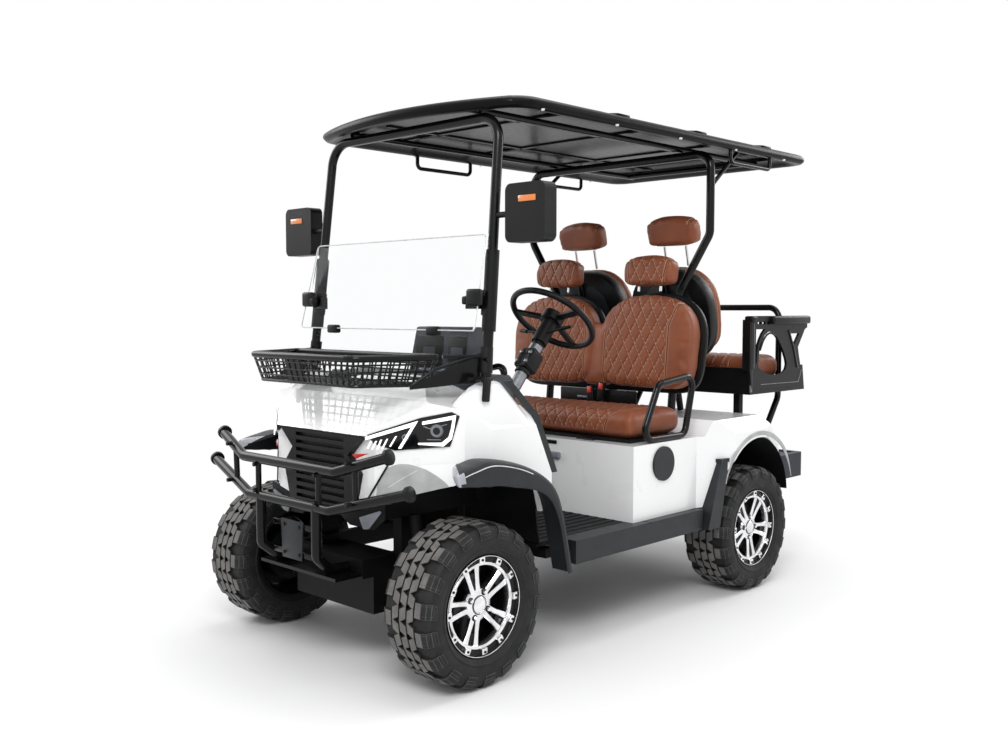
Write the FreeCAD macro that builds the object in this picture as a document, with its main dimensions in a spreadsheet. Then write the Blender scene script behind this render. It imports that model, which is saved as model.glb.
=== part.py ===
import FreeCAD, Part
import math
import os
import re
import Sketcher
from FreeCAD import Placement, Rotation, Vector

# Golf cart in millimetres. The front faces -Y, the driver's left side is +X, and Z is up from the ground.
# Stations and reaches are measured from the front axle, which lies where the cart's length is centred.
os.makedirs("parts", exist_ok=True)
doc = FreeCAD.newDocument("GolfCart")
sheet = doc.addObject("Spreadsheet::Sheet", "Sizes")

sizes = {
    # Layout
    "wheelbase": 1800,
    "track": 1130,
    "guardReach": 372,
    "seatGap": 0.3,
    "pinGap": 0.06,
    "lidGap": 0.5,
    "runGap": 6,
    # Tyres and rims
    "tyreRadius": 290,
    "tyreWidth": 235,
    "treadWidth": 190,
    "shoulderRadius": 262,
    "sidewallRadius": 232,
    "beadRadius": 178,
    "beadWidth": 184,
    "beadHeight": 13,
    "rimLip": 6,
    "rimWall": 12,
    "discFront": 66,
    "discThick": 20,
    "hubRadius": 44,
    "hubBack": 20,
    "hubFront": 80,
    "axleRadius": 16,
    "axlePin": 70,
    "spokeCount": 5,
    "windowInner": 62,
    "windowOuter": 158,
    "windowInnerHalf": 18,
    "windowOuterHalf": 52,
    "splitInner": 84,
    "splitInnerHalf": 4,
    "splitOuterHalf": 13,
    # Knuckles and track rod
    "kingpinInset": 95,
    "kingpinRadius": 10,
    "eyeRadius": 24,
    "eyeThick": 20,
    "uprightHigh": 128,
    "uprightWide": 44,
    "uprightThick": 34,
    "drumRadius": 112,
    "drumFace": 46,
    "steerArmReach": 100,
    "steerArmThick": 16,
    "steerArmDrop": 44,
    "steerArmWide": 30,
    "rodRadius": 9,
    "rodPin": 6,
    "rodEye": 16,
    # Chassis
    "railInner": 200,
    "railWide": 40,
    "railLow": 345,
    "railHigh": 70,
    "railFront": -200,
    "railRear": 2300,
    "crossWide": 50,
    "crossFirst": 440,
    "crossSecond": 1000,
    "crossThird": 1440,
    "outriggerHalf": 555,
    "subframeHalf": 240,
    "subframeFront": -150,
    "subframeRear": 62,
    "subframeLow": 205,
    "armWide": 60,
    "armInset": 4,
    "armShoulder": 44,
    "armShoulderAt": 370,
    "coilRadius": 24,
    "coilFoot": 375,
    "coilHead": 299,
    "coilLow": 231.3,
    "coilTop": 560,
    "towerHalf": 275,
    "towerLong": 90,
    "towerThick": 12,
    # Rear axle, motor, springs and battery
    "axleTube": 32,
    "springTrack": 660,
    "springWide": 50,
    "springThick": 22,
    "springReach": 330,
    "motorRadius": 88,
    "motorLong": 180,
    "diffRadius": 95,
    "diffWide": 110,
    "batteryHalf": 330,
    "batteryFront": 1010,
    "batteryLong": 380,
    "batteryHigh": 260,
    # Floor and sills
    "floorFront": 385,
    "floorRear": 1480,
    "floorHalf": 556,
    "floorThick": 12,
    "matThick": 5,
    "matRear": 930,
    "ribWide": 14,
    "ribPitch": 46,
    "ribHigh": 4,
    "sillOuter": 640,
    "sillLow": 340,
    "sillFront": 520,
    "sillJoint": 1000,
    "sillSlot": 6,
    # Front cowl
    "cowlNose": -225,
    "grilleHalf": 254,
    "lampBack": 5,
    "grilleRecess": 40,
    "cowlHalf": 585,
    "lampHalf": 560,
    "cowlShoulder": 120,
    "cowlRear": 440,
    "noseLow": 560,
    "noseTop": 872,
    "hoodFront": -60,
    "hoodFrontHigh": 996,
    "hoodHigh": 1040,
    "hoodMiddle": 100,
    "cowlCorner": 185,
    "cowlCornerHigh": 1062,
    "openingMiddle": 335,
    "openingMiddleHigh": 925,
    "openingLow": 700,
    "hoodSideHigh": 966,
    "hoodSideLow": 890,
    "hoodCrown": 400,
    "archTop": 775,
    "archInner": 300,
    "cheekThick": 14,
    "cheekGap": 2,
    "cowlWall": 14,
    "cowlRound": 18,
    # Grille, lamps and cowl trim
    "grilleThick": 26,
    "grilleWaist": 174,
    "grilleWaistHigh": 793,
    "grilleShoulder": 230,
    "grilleShoulderHigh": 726,
    "grilleFoot": 192,
    "grilleTopHigh": 866,
    "grilleLow": 590,
    "slatPitch": 26,
    "slatGap": 14,
    "slatHalf": 150,
    "slatDeep": 16,
    "lampThick": 34,
    "lampProud": 5,
    "lampTip": 33,
    "lampTipHigh": 875,
    "lampBrow": 227,
    "lampBrowHigh": 938,
    "lampCrown": 338,
    "lampCrownHigh": 960,
    "lampEnd": 366,
    "lampEndHigh": 946,
    "lampRoot": 332,
    "lampRootHigh": 838,
    "lampKnee": 134,
    "lampKneeHigh": 821,
    "lampCheek": 58,
    "lampCheekHigh": 844,
    "trimWide": 32,
    "trimThick": 14,
    # Front flares
    "flareOuter": 685,
    "flareTip": -165,
    "flareTipHigh": 772,
    "flarePeak": 40,
    "flarePeakHigh": 802,
    "flareShoulder": 345,
    "flareShoulderHigh": 676,
    "flareFoot": 468,
    "flareHeel": 378,
    "flareFootHigh": 330,
    "flareThick": 26,
    # Brush guard
    "guardTube": 19,
    "guardBend": 45,
    "guardBowHalf": 289,
    "guardBowHigh": 759,
    "guardWingHalf": 516,
    "guardWingBack": 48,
    "guardWingHigh": 828,
    "guardLowHalf": 253,
    "guardLowHigh": 619,
    "guardLowWingHalf": 603,
    "guardLowWingBack": 64,
    "guardLowWingHigh": 712,
    "guardPost": 11,
    "guardPostHalf": 190,
    "guardWingPostHalf": 375,
    "guardLegHalf": 175,
    "guardLegFootHalf": 155,
    "guardLegKneeHigh": 440,
    "guardLegFootHigh": 380,
    "guardLegFootBack": 70,
    "skidHalf": 235,
    "skidThick": 12,
    "skidFront": -318,
    # Basket and its brackets
    "basketFront": -298,
    "basketBack": 0,
    "basketFrontHalf": 310,
    "basketBackHalf": 440,
    "basketRimHigh": 1148,
    "basketFloorHigh": 1044,
    "basketTaper": 22,
    "basketRim": 8,
    "basketWall": 5,
    "bracketThick": 6,
    "bracketReach": 60,
    "bracketBar": 26,
    "bracketFront": -210,
    "bracketHigh": 1160,
    "bracketLow": 1056,
    "bracketTipHigh": 1074,
    # Firewall, dash, pedals and steering
    "firewallFoot": 392,
    "firewallHead": 330,
    "firewallThick": 8,
    "dashFront": 204,
    "dashFrontHigh": 1046,
    "dashRear": 420,
    "dashLow": 932,
    "dashHigh": 1066,
    "dashHalf": 500,
    "dashLip": 24,
    "humpCentre": 120,
    "humpHalf": 190,
    "humpHigh": 1250,
    "humpFront": 285,
    "humpRear": 400,
    "humpTaper": 34,
    "humpRecess": 12,
    "humpFrame": 20,
    "pedalWide": 90,
    "pedalHigh": 110,
    "pedalThick": 12,
    "pedalLow": 470,
    "pedalFoot": 452,
    "pedalSpread": 85,
    "pedalArm": 9,
    "wheelSide": 290,
    "wheelStation": 775,
    "wheelHigh": 1280,
    "wheelRadius": 183,
    "wheelRim": 13,
    "wheelHub": 48,
    "wheelHubThick": 40,
    "wheelSpoke": 28,
    "wheelSpokeThick": 12,
    "columnTilt": 40,
    "columnRadius": 24,
    "columnHead": 34,
    "columnHeadLong": 110,
    "columnClampWide": 64,
    "columnClampLong": 90,
    "columnClampAt": 250,
    "columnLong": 700,
    # Rear body
    "baseFront": 935,
    "baseHalf": 600,
    "baseHigh": 752,
    "fenderHalf": 685,
    "fenderFront": 1400,
    "fenderFull": 1590,
    "fenderRear": 2050,
    "fenderTaper": 40,
    "deckStart": 1480,
    "deckRise": 40,
    "deckHigh": 822,
    "deckEnd": 1860,
    "tailHigh": 660,
    "fenderEdgeHigh": 760,
    "archCentreHigh": 420,
    "archRadius": 302,
    "archWell": 395,
    "baseWall": 14,
    "wellWall": 14,
    "speakerStation": 1142,
    "speakerHigh": 661,
    "speakerRadius": 74,
    "speakerThick": 10,
    "rearTrimTop": 1568,
    "rearTrimTopHigh": 640,
    "rearTrimFoot": 1400,
    "rearTrimHead": 1500,
    "rearTrimHeel": 1494,
    "rearTrimCap": 16,
    "rearTrimCapProud": 4,
    "rearTrimOuter": 668,
    # Front seats
    "cushionFront": 985,
    "hingeHalf": 300,
    "hingeLong": 90,
    "hingeRadius": 7,
    "hingeLeaf": 4,
    "hingeGap": 2,
    "cushionRear": 1396,
    "cushionHalf": 552,
    "cushionBase": 14,
    "cushionHigh": 118,
    "cushionRound": 42,
    "edgeShare": 0.8,
    "backBottom": 940,
    "backTop": 1410,
    "backStation": 1395,
    "backLean": 6,
    "backThick": 96,
    "lobeCentre": 290,
    "lobeHalf": 284,
    "shellThick": 16,
    "headFront": 1486,
    "headFrontHigh": 1501,
    "headWide": 292,
    "headDeep": 88,
    "headHigh": 148,
    "headRound": 34,
    "headPost": 7,
    "headPostSpread": 62,
    "headHalf": 281,
    "headFrontPost": 22.6,
    "headRearPost": 96,
    "restHalf": 583,
    "restTube": 15,
    "restFoot": 1010,
    "restKnee": 1130,
    "restKneeHigh": 1000,
    "restHead": 1398,
    "restHeadHigh": 1030,
    "restHeel": 1330,
    "restBend": 45,
    # Rear seat
    "trayFront": 1990,
    "trayRear": 2540,
    "trayHalf": 516,
    "trayLow": 900,
    "trayHigh": 1030,
    "trayWall": 22,
    "trayDipHigh": 985,
    "trayFloorHigh": 962,
    "rearCushionRear": 2372,
    "rearCushionHalf": 490,
    "rearCushionHigh": 125,
    "rearBackBottom": 1105,
    "rearBackTop": 1560,
    "rearBackStation": 1878,
    "rearBackLean": 14,
    "rearBackThick": 92,
    "rearShellThick": 60,
    "rearFrameTube": 16,
    "rearFrameHigh": 1450,
    "rearFrameHalf": 258,
    "rearLobeHalf": 232,
    "rearLobeCentre": 258,
    "headRear": 1662,
    "headRearHigh": 1696,
    "armTop": 1300,
    "armPadThick": 34,
    "armPadWide": 48,
    "armPlate": 14,
    "armFront": 1945,
    "armStrap": 42,
    "armArchStart": 2058,
    "armArchLeft": 2150,
    "armArchRight": 2235,
    "armArchEnd": 2338,
    "armArchHigh": 1236,
    "armArchKneeHigh": 1150,
    "armHeel": 2440,
    "armWaist": 2410,
    "armWaistHigh": 1160,
    "rearPostHalf": 400,
    "rearPostStation": 2075,
    "rearPostSide": 34,
    "barHalf": 440,
    "barStation": 2400,
    "barHigh": 1330,
    "barTube": 16,
    "barBend": 60,
    "barKneeHigh": 860,
    "barFoot": 2235,
    "stepHalf": 560,
    "stepFront": 2185,
    "stepRear": 2455,
    "stepLow": 455,
    "stepHigh": 578,
    "stepFlare": 16,
    "stepRound": 20,
    "stepPadDeep": 6,
    "tailLampWide": 110,
    "tailLampHigh": 42,
    "tailLampThick": 12,
    # Roof and its frame
    "roofHalf": 612,
    "roofRear": 2372,
    "roofFront": 232,
    "roofBow": 118,
    "roofLow": 2046,
    "roofEdge": 2092,
    "roofCrown": 2126,
    "roofCorner": 70,
    "roofSkin": 20,
    "roofRim": 46,
    "roofRibHigh": 12,
    "roofRibLong": 90,
    "roofRibPitch": 560,
    "roofRibFirst": 870,
    "roofRibHalf": 430,
    "postTube": 19,
    "postFoot": 136,
    "postFootHalf": 530,
    "postFootHigh": 985,
    "postHead": 245,
    "postHeadHalf": 498,
    "hoopBend": 95,
    "cowlFrameTube": 16,
    "cowlFrameHalf": 240,
    "cowlFrameStation": 300,
    "cowlFrameHigh": 846,
    "cowlFrameBend": 50,
    "strutHalf": 545,
    "strutStation": 1572,
    "strutKneeHigh": 1665,
    "strutBackHalf": 380,
    "strutBackHigh": 1400,
    "strutBend": 70,
    "roofShoulder": 60,
    "roofShoulderHigh": 2104,
    "roofRailHalf": 385,
    "roofRailTube": 13,
    "roofRailRear": 2230,
    "braceTube": 10,
    "braceDrop": 150,
    "braceReach": 230,
    "handleTube": 9,
    "handleLong": 350,
    "handleDrop": 55,
    "handleBend": 24,
    "handleFrontAt": 800,
    "handleRearAt": 1665,
    # Windscreen and mirrors
    "paneHalf": 512,
    "paneThick": 5,
    "paneLow": 1241,
    "paneHigh": 1592,
    "paneLowStation": 92,
    "paneHighStation": 170,
    "lowerPaneLow": 1068,
    "lowerPaneStation": 151,
    "lowerPaneFootHalf": 508.2,
    "lowerPaneHeadHalf": 503,
    "sleeveRadius": 26,
    "sleeveLow": 1240,
    "sleeveHigh": 1534,
    "clipWide": 52,
    "clipHigh": 48,
    "clipThick": 34,
    "clipLevelHigh": 1345,
    "mirrorHalf": 682,
    "mirrorStation": 212,
    "mirrorMiddleHigh": 1660,
    "mirrorWide": 190,
    "mirrorHigh": 208,
    "mirrorDeep": 62,
    "mirrorRound": 26,
    "mirrorArm": 11,
}

for row, name in enumerate(sizes, 1):
    sheet.set(f"A{row}", name)
    sheet.set(f"B{row}", str(sizes[name]))
    sheet.setAlias(f"B{row}", name)
doc.recompute()

formulaWords = {"cos", "sin", "tan", "floor"}
planeRoles = {"top": "XY_Plane", "front": "XZ_Plane", "side": "YZ_Plane"}
axisTurns = {"x": Rotation(Vector(0, 1, 0), 90), "y": Rotation(Vector(1, 0, 0), -90), "z": Rotation()}
sides = (("left", 1), ("right", -1))
pieces = {}

frontAxle = "((guardReach - trayRear) / 2)"
rearAxle = f"({frontAxle} + wheelbase)"
wheelCentre = "(track / 2)"
kingpin = "(track / 2 - kingpinInset)"
floorTop = "(railLow + railHigh + floorThick)"
sillTop = f"({floorTop} + matThick)"
bodyLow = f"({sillTop} + seatGap)"


# Each word of a formula names a cell of the sheet
def bound(text):
    def cell(match):
        word = match.group()
        return word if word in formulaWords else f"Sizes.{word}"
    return re.sub(r"[A-Za-z]\w*", cell, text)


def value(text):
    return float(sheet.evalExpression(bound(text)))


def station(text):
    return f"({frontAxle} + {text})"


def point(x, y, z):
    return Vector(value(x), value(y), value(z))


def piece(name, item):
    item.Label = name
    pieces[name] = item
    return item


def bindPlace(item, place):
    for axis, text in zip("xyz", place):
        item.setExpression(f"Placement.Base.{axis}", bound(text))


# Closed outline on one of the body's own planes, every corner held to its formula
def drawOutline(body, plane, loops, offset):
    sketch = body.newObject("Sketcher::SketchObject", "Outline")
    role = planeRoles[plane]
    support = [item for item in body.Origin.OriginFeatures if item.Role == role][0]
    sketch.AttachmentSupport = [(support, "")]
    sketch.MapMode = "FlatFace"
    sketch.setExpression("AttachmentOffset.Base.z", bound(offset))
    for corners in loops:
        first = sketch.GeometryCount
        places = [Vector(value(a), value(b), 0) for a, b in corners]
        for index, start in enumerate(places):
            sketch.addGeometry(Part.LineSegment(start, places[(index + 1) % len(places)]))
        for index, (a, b) in enumerate(corners):
            line = first + index
            following = first + (index + 1) % len(corners)
            sketch.addConstraint(Sketcher.Constraint("Coincident", line, 2, following, 1))
            for kind, text, number in (("DistanceX", a, places[index].x), ("DistanceY", b, places[index].y)):
                held = sketch.addConstraint(Sketcher.Constraint(kind, -1, 1, line, 1, number))
                sketch.setExpression(f"Constraints[{held}]", bound(text))
    return sketch


def newBody(name):
    return doc.addObject("PartDesign::Body", name)


# Outline pushed from start to end along X, Y or Z; later loops are holes
def prism(name, plane, loops, start, end):
    body = newBody(name)
    inward = plane == "front"
    sketch = drawOutline(body, plane, loops, f"-({start})" if inward else start)
    pad = body.newObject("PartDesign::Pad", "Push")
    pad.Profile = sketch
    pad.Reversed = inward
    pad.setExpression("Length", bound(f"{end} - ({start})"))
    return body


def alongEdges(shape, direction):
    names = []
    for index, edge in enumerate(shape.Edges, 1):
        if isinstance(edge.Curve, Part.Line) and edge.Curve.Direction.cross(direction).Length < 1e-6:
            names.append(f"Edge{index}")
    return names


def faceEdges(shape, direction):
    names = []
    faces = [face for face in shape.Faces if isinstance(face.Surface, Part.Plane)]
    faces = [face for face in faces if face.normalAt(0, 0).cross(direction).Length < 1e-6]
    for index, edge in enumerate(shape.Edges, 1):
        if any(edge.isSame(other) for face in faces for other in face.Edges):
            names.append(f"Edge{index}")
    return names


def rounded(body, names, radius):
    doc.recompute()
    base = body.Tip
    fillet = body.newObject("PartDesign::Fillet", "Round")
    fillet.Base = (base, names)
    fillet.setExpression("Radius", bound(radius))
    body.Tip = fillet
    return body


def roundAlong(body, direction, radius):
    doc.recompute()
    return rounded(body, alongEdges(body.Tip.Shape, direction), radius)


def roundFaces(body, direction, radius):
    doc.recompute()
    return rounded(body, faceEdges(body.Tip.Shape, direction), radius)


# Left or right copy of a span across the cart
def sideSpan(hand, inner, outer):
    return (inner, outer) if hand > 0 else (f"-({outer})", f"-({inner})")


def box(name, corner, lengths):
    item = doc.addObject("Part::Box", name)
    for side, text in zip(("Length", "Width", "Height"), lengths):
        item.setExpression(side, bound(text))
    bindPlace(item, corner)
    return item


def cylinder(name, axis, base, radius, length):
    item = doc.addObject("Part::Cylinder", name)
    item.setExpression("Radius", bound(radius))
    item.setExpression("Height", bound(length))
    item.Placement = Placement(Vector(), axisTurns[axis])
    bindPlace(item, base)
    return item


def fused(name, items):
    item = doc.addObject("Part::MultiFuse", name)
    item.Shapes = items
    return item


def cut(name, base, tool):
    item = doc.addObject("Part::Cut", name)
    item.Base = base
    item.Tool = tool
    return item


def common(name, items):
    item = doc.addObject("Part::MultiCommon", name)
    item.Shapes = items
    return item


def together(name, items):
    item = doc.addObject("Part::Compound", name)
    item.Links = items
    return item


def shaped(name, shape):
    item = doc.addObject("Part::Feature", name)
    item.Shape = shape
    item.Placement = Placement()
    return item


# Path of straight runs joined by tangent arcs
def bentPath(corners, bend, closed=False):
    count = len(corners)
    turns = range(count) if closed else range(1, count - 1)
    joints = {}
    for index in turns:
        corner = corners[index]
        inward = (corners[index - 1] - corner).normalize()
        outward = (corners[(index + 1) % count] - corner).normalize()
        half = inward.getAngle(outward) / 2
        reach = bend / math.tan(half)
        middle = corner + (inward + outward).normalize() * (bend / math.sin(half) - bend)
        joints[index] = (corner + inward * reach, middle, corner + outward * reach)
    edges = []
    last = joints[count - 1][2] if closed else corners[0]
    for index in turns:
        first, middle, after = joints[index]
        edges.append(Part.LineSegment(last, first).toShape())
        edges.append(Part.Arc(first, middle, after).toShape())
        last = after
    if not closed:
        edges.append(Part.LineSegment(last, corners[-1]).toShape())
    return Part.Wire(edges)


def tube(corners, radius, bend, closed=False):
    path = bentPath([point(*corner) for corner in corners], value(bend), closed)
    first = path.Edges[0]
    start = first.valueAt(first.FirstParameter)
    ring = Part.Wire(Part.makeCircle(value(radius), start, first.tangentAt(first.FirstParameter)))
    return path.makePipeShell([ring], True, False)


def rod(start, end, radius):
    first = point(*start)
    along = point(*end) - first
    return Part.makeCylinder(value(radius), along.Length, first, along)


def joined(shapes):
    return shapes[0].multiFuse(shapes[1:]).removeSplitter()


def mirrorPlace(x, y, z, hand):
    return (f"{hand} * ({x})", y, z)


# Tyre, the tread's lugs left to a later step, and the wheel it runs on
def makeTyre(name, centre, hand):
    body = newBody(name)
    half = "tyreWidth / 2"
    bead = "beadWidth / 2"
    section = [
        (f"-{bead}", "beadRadius"),
        (bead, "beadRadius"),
        (bead, "beadRadius + beadHeight"),
        (half, "sidewallRadius"),
        ("tyreWidth / 2 - seatGap", "shoulderRadius"),
        ("treadWidth / 2", "tyreRadius"),
        ("-treadWidth / 2", "tyreRadius"),
        ("-(tyreWidth / 2 - seatGap)", "shoulderRadius"),
        (f"-{half}", "sidewallRadius"),
        (f"-{bead}", "beadRadius + beadHeight"),
    ]
    turn = body.newObject("PartDesign::Revolution", "Turn")
    turn.Profile = drawOutline(body, "top", [section], "0")
    turn.ReferenceAxis = (turn.Profile[0], ["H_Axis"])
    bindPlace(body, centre)
    return piece(name, body)


def makeRim(name, centre, hand):
    body = newBody(name)
    outer = "beadRadius - seatGap"
    inner = f"({outer} - rimWall)"
    lip = "beadWidth / 2 + seatGap"
    lipTop = "beadRadius + beadHeight - rimLip / 2"
    section = [
        (f"-({lip} + rimLip)", inner),
        ("discFront - discThick", inner),
        ("discFront - discThick", "hubRadius"),
        ("-hubBack", "hubRadius"),
        ("-hubBack", "axleRadius + pinGap"),
        ("axlePin + pinGap", "axleRadius + pinGap"),
        ("axlePin + pinGap", "0"),
        ("hubFront", "0"),
        ("hubFront", "hubRadius - rimLip"),
        ("discFront", "hubRadius"),
        ("discFront - rimLip", f"{inner} - rimLip"),
        (f"{lip} + rimLip", inner),
        (f"{lip} + rimLip", lipTop),
        (lip, lipTop),
        (lip, outer),
        (f"-({lip})", outer),
        (f"-({lip})", lipTop),
        (f"-({lip} + rimLip)", lipTop),
    ]
    turn = body.newObject("PartDesign::Revolution", "Turn")
    turn.Profile = drawOutline(body, "top", [section], "0")
    turn.ReferenceAxis = (turn.Profile[0], ["H_Axis"])
    window = [
        ("-windowInnerHalf", "windowInner"),
        ("windowInnerHalf", "windowInner"),
        ("windowOuterHalf", "windowOuter"),
        ("-windowOuterHalf", "windowOuter"),
    ]
    split = [
        ("-splitInnerHalf", "-splitInner"),
        ("splitInnerHalf", "-splitInner"),
        ("splitOuterHalf", "-windowOuter"),
        ("-splitOuterHalf", "-windowOuter"),
    ]
    for label, loop in (("Window", window), ("Split", split)):
        opening = body.newObject("PartDesign::Pocket", label)
        opening.Profile = drawOutline(body, "side", [loop], "discFront - 2 * discThick")
        opening.Reversed = True
        opening.setExpression("Length", bound("3 * discThick"))
        doc.recompute()
        pattern = body.newObject("PartDesign::PolarPattern", f"{label}s")
        pattern.Originals = [opening]
        pattern.Axis = (turn.Profile[0], ["H_Axis"])
        pattern.Angle = 360
        pattern.setExpression("Occurrences", bound("spokeCount"))
        body.Tip = pattern
    if hand < 0:
        body.Placement = Placement(Vector(), Rotation(Vector(0, 0, 1), 180))
    bindPlace(body, centre)
    return piece(name, body)


def makeWheels():
    for end, axle in (("front", frontAxle), ("rear", rearAxle)):
        for side, hand in sides:
            centre = mirrorPlace(wheelCentre, axle, "tyreRadius", hand)
            makeTyre(f"tyre_{end}_{side}", centre, hand)
            makeRim(f"rim_{end}_{side}", centre, hand)


# Upright with its kingpin, drum, wheel spindle and steering arm
def makeKnuckle(side, hand):
    low = "tyreRadius - uprightHigh / 2"
    parts = []
    span = sideSpan(hand, f"{kingpin} - uprightThick / 2", f"{kingpin} + uprightThick / 2")
    parts.append(box(f"upright_{side}", (span[0], f"{frontAxle} - uprightWide / 2", low),
                     ("uprightThick", "uprightWide", "uprightHigh")))
    parts.append(cylinder(f"kingpin_{side}", "z", (f"{hand} * {kingpin}", frontAxle, f"{low} - lidGap - eyeThick"),
                          "kingpinRadius", "uprightHigh + 2 * lidGap + 2 * eyeThick"))
    span = sideSpan(hand, f"{kingpin} + eyeRadius + runGap", f"{wheelCentre} - hubBack - lidGap")
    parts.append(cylinder(f"drum_{side}", "x", (span[0], frontAxle, "tyreRadius"), "drumRadius",
                          f"{span[1]} - ({span[0]})"))
    span = sideSpan(hand, kingpin, f"{wheelCentre} + axlePin")
    parts.append(cylinder(f"spindle_{side}", "x", (span[0], frontAxle, "tyreRadius"),
                          "axleRadius", "kingpinInset + axlePin"))
    span = sideSpan(hand, f"{kingpin} - steerArmWide / 2", f"{kingpin} + steerArmWide / 2")
    armLow = f"(tyreRadius - steerArmDrop - steerArmThick)"
    parts.append(box(f"steer_arm_{side}", (span[0], frontAxle, armLow),
                     ("steerArmWide", "steerArmReach + steerArmWide / 2", "steerArmThick")))
    parts.append(cylinder(f"arm_pin_{side}", "z",
                          (f"{hand} * {kingpin}", f"{frontAxle} + steerArmReach", f"{armLow} - 2 * rodRadius - lidGap"),
                          "rodPin", "2 * rodRadius + lidGap"))
    piece(f"knuckle_{side}", fused(f"knuckle_{side}", parts))


# Track rod between the two steering arms
def makeTrackRod():
    middle = "(tyreRadius - steerArmDrop - steerArmThick - rodRadius - lidGap)"
    y = f"({frontAxle} + steerArmReach)"
    bar = cylinder("rod_bar", "x", (f"-{kingpin}", y, middle), "rodRadius", f"2 * {kingpin}")
    eyes = [cylinder(f"rod_eye_{side}", "z", (f"{hand} * {kingpin}", y, f"{middle} - rodRadius"),
                     "rodEye", "2 * rodRadius") for side, hand in sides]
    bores = [cylinder(f"rod_bore_{side}", "z", (f"{hand} * {kingpin}", y, f"{middle} - 2 * rodRadius"),
                      "rodPin + pinGap", "4 * rodRadius") for side, hand in sides]
    piece("track_rod", cut("track_rod", fused("rod_blank", [bar] + eyes), fused("rod_bores", bores)))


def makeChassis():
    length = "railRear - railFront"
    parts = []
    for side, hand in sides:
        span = sideSpan(hand, "railInner", "railInner + railWide")
        parts.append(box(f"rail_{side}", (span[0], station("railFront"), "railLow"),
                         ("railWide", length, "railHigh")))
    for index, at in enumerate(("crossFirst", "crossSecond", "crossThird")):
        parts.append(box(f"outrigger_{index}", ("-outriggerHalf", station(at), "railLow + railHigh / 4"),
                         ("2 * outriggerHalf", "crossWide", "railHigh / 2")))
    for index, at in enumerate(("railFront", "railRear - crossWide")):
        parts.append(box(f"end_cross_{index}", ("-(railInner + railWide / 2)", station(at), "railLow"),
                         ("2 * railInner + railWide", "crossWide", "railHigh")))
    for side, hand in sides:
        span = sideSpan(hand, "railInner", "springTrack / 2 + springWide / 2")
        for index, at in enumerate(("wheelbase - springReach", "wheelbase + springReach")):
            parts.append(cylinder(f"spring_hanger_{side}_{index}", "x",
                                  (span[0], station(at), "railLow - springThick / 2"),
                                  "springThick", f"{span[1]} - ({span[0]})"))
    parts.append(box("subframe", ("-subframeHalf", station("subframeFront"), "subframeLow"),
                     ("2 * subframeHalf", "subframeRear - subframeFront", "railLow - subframeLow + railHigh / 2")))
    for side, hand in sides:
        span = sideSpan(hand, "subframeHalf - towerThick", "towerHalf")
        foot = "(tyreRadius + uprightHigh / 2 + 2 * lidGap + eyeThick)"
        parts.append(box(f"tower_{side}", (span[0], f"{frontAxle} - towerLong / 2", foot),
                         ("towerHalf - subframeHalf + towerThick", "towerLong", f"coilTop - {foot}")))
    piece("chassis_frame", fused("chassis_frame", parts + [cowlFrame()] + rearSeatFrame()))


# Upper or lower arm of one side, with the eye that holds the kingpin and the hole round the shock
def makeArm(name, hand, low):
    half = [("subframeHalf + seatGap", "subframeRear - armInset"), ("armShoulderAt", "armShoulder"), (kingpin, "eyeRadius / 2")]
    corners = [(f"{hand} * ({a})", f"{frontAxle} + {b}") for a, b in half]
    corners += [(f"{hand} * ({a})", f"{frontAxle} - ({b})") for a, b in reversed(half)]
    plate = prism(f"{name}_plate", "top", [corners], low, f"{low} + eyeThick")
    eye = cylinder(f"{name}_eye", "z", (f"{hand} * {kingpin}", frontAxle, low), "eyeRadius", "eyeThick")
    bore = cylinder(f"{name}_bore", "z", (f"{hand} * {kingpin}", frontAxle, f"{low} - eyeThick"),
                    "kingpinRadius + pinGap", "3 * eyeThick")
    hole = shaped(f"{name}_hole", shockRod(hand, "coilRadius + seatGap"))
    return cut(name, fused(f"{name}_blank", [plate, eye]), fused(f"{name}_cuts", [bore, hole]))


def shockRod(hand, radius):
    return rod((f"{hand} * coilFoot", frontAxle, "coilLow"), (f"{hand} * coilHead", frontAxle, "coilTop"), radius)


# Upper and lower arms of the front wheels
def makeFrontArms():
    low = "(tyreRadius - uprightHigh / 2 - lidGap - eyeThick)"
    high = "(tyreRadius + uprightHigh / 2 + lidGap)"
    arms = []
    for side, hand in sides:
        arms.append(makeArm(f"lower_arm_{side}", hand, low))
        arms.append(makeArm(f"upper_arm_{side}", hand, high))
    piece("front_arms", together("front_arms", arms))


# Rear axle with its drums, its gear case and the motor beside it
def makeRearAxle():
    parts = [cylinder("axle_tube", "x", (f"-({wheelCentre} - hubBack - drumFace / 2)", rearAxle, "tyreRadius"),
                      "axleTube", f"2 * ({wheelCentre} - hubBack - drumFace / 2)"),
             cylinder("axle_shaft", "x", (f"-({wheelCentre} + axlePin)", rearAxle, "tyreRadius"),
                      "axleRadius", f"2 * ({wheelCentre} + axlePin)"),
             cylinder("differential", "x", ("-diffWide / 2", rearAxle, "tyreRadius"), "diffRadius", "diffWide")]
    for side, hand in sides:
        span = sideSpan(hand, f"{wheelCentre} - hubBack - lidGap - drumFace", f"{wheelCentre} - hubBack - lidGap")
        parts.append(cylinder(f"rear_drum_{side}", "x", (span[0], rearAxle, "tyreRadius"),
                              "drumRadius", "drumFace"))
    parts.append(cylinder("drive_motor", "x", ("0", rearAxle, "tyreRadius"), "motorRadius", "motorLong"))
    piece("rear_axle", fused("rear_axle", parts))


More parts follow.
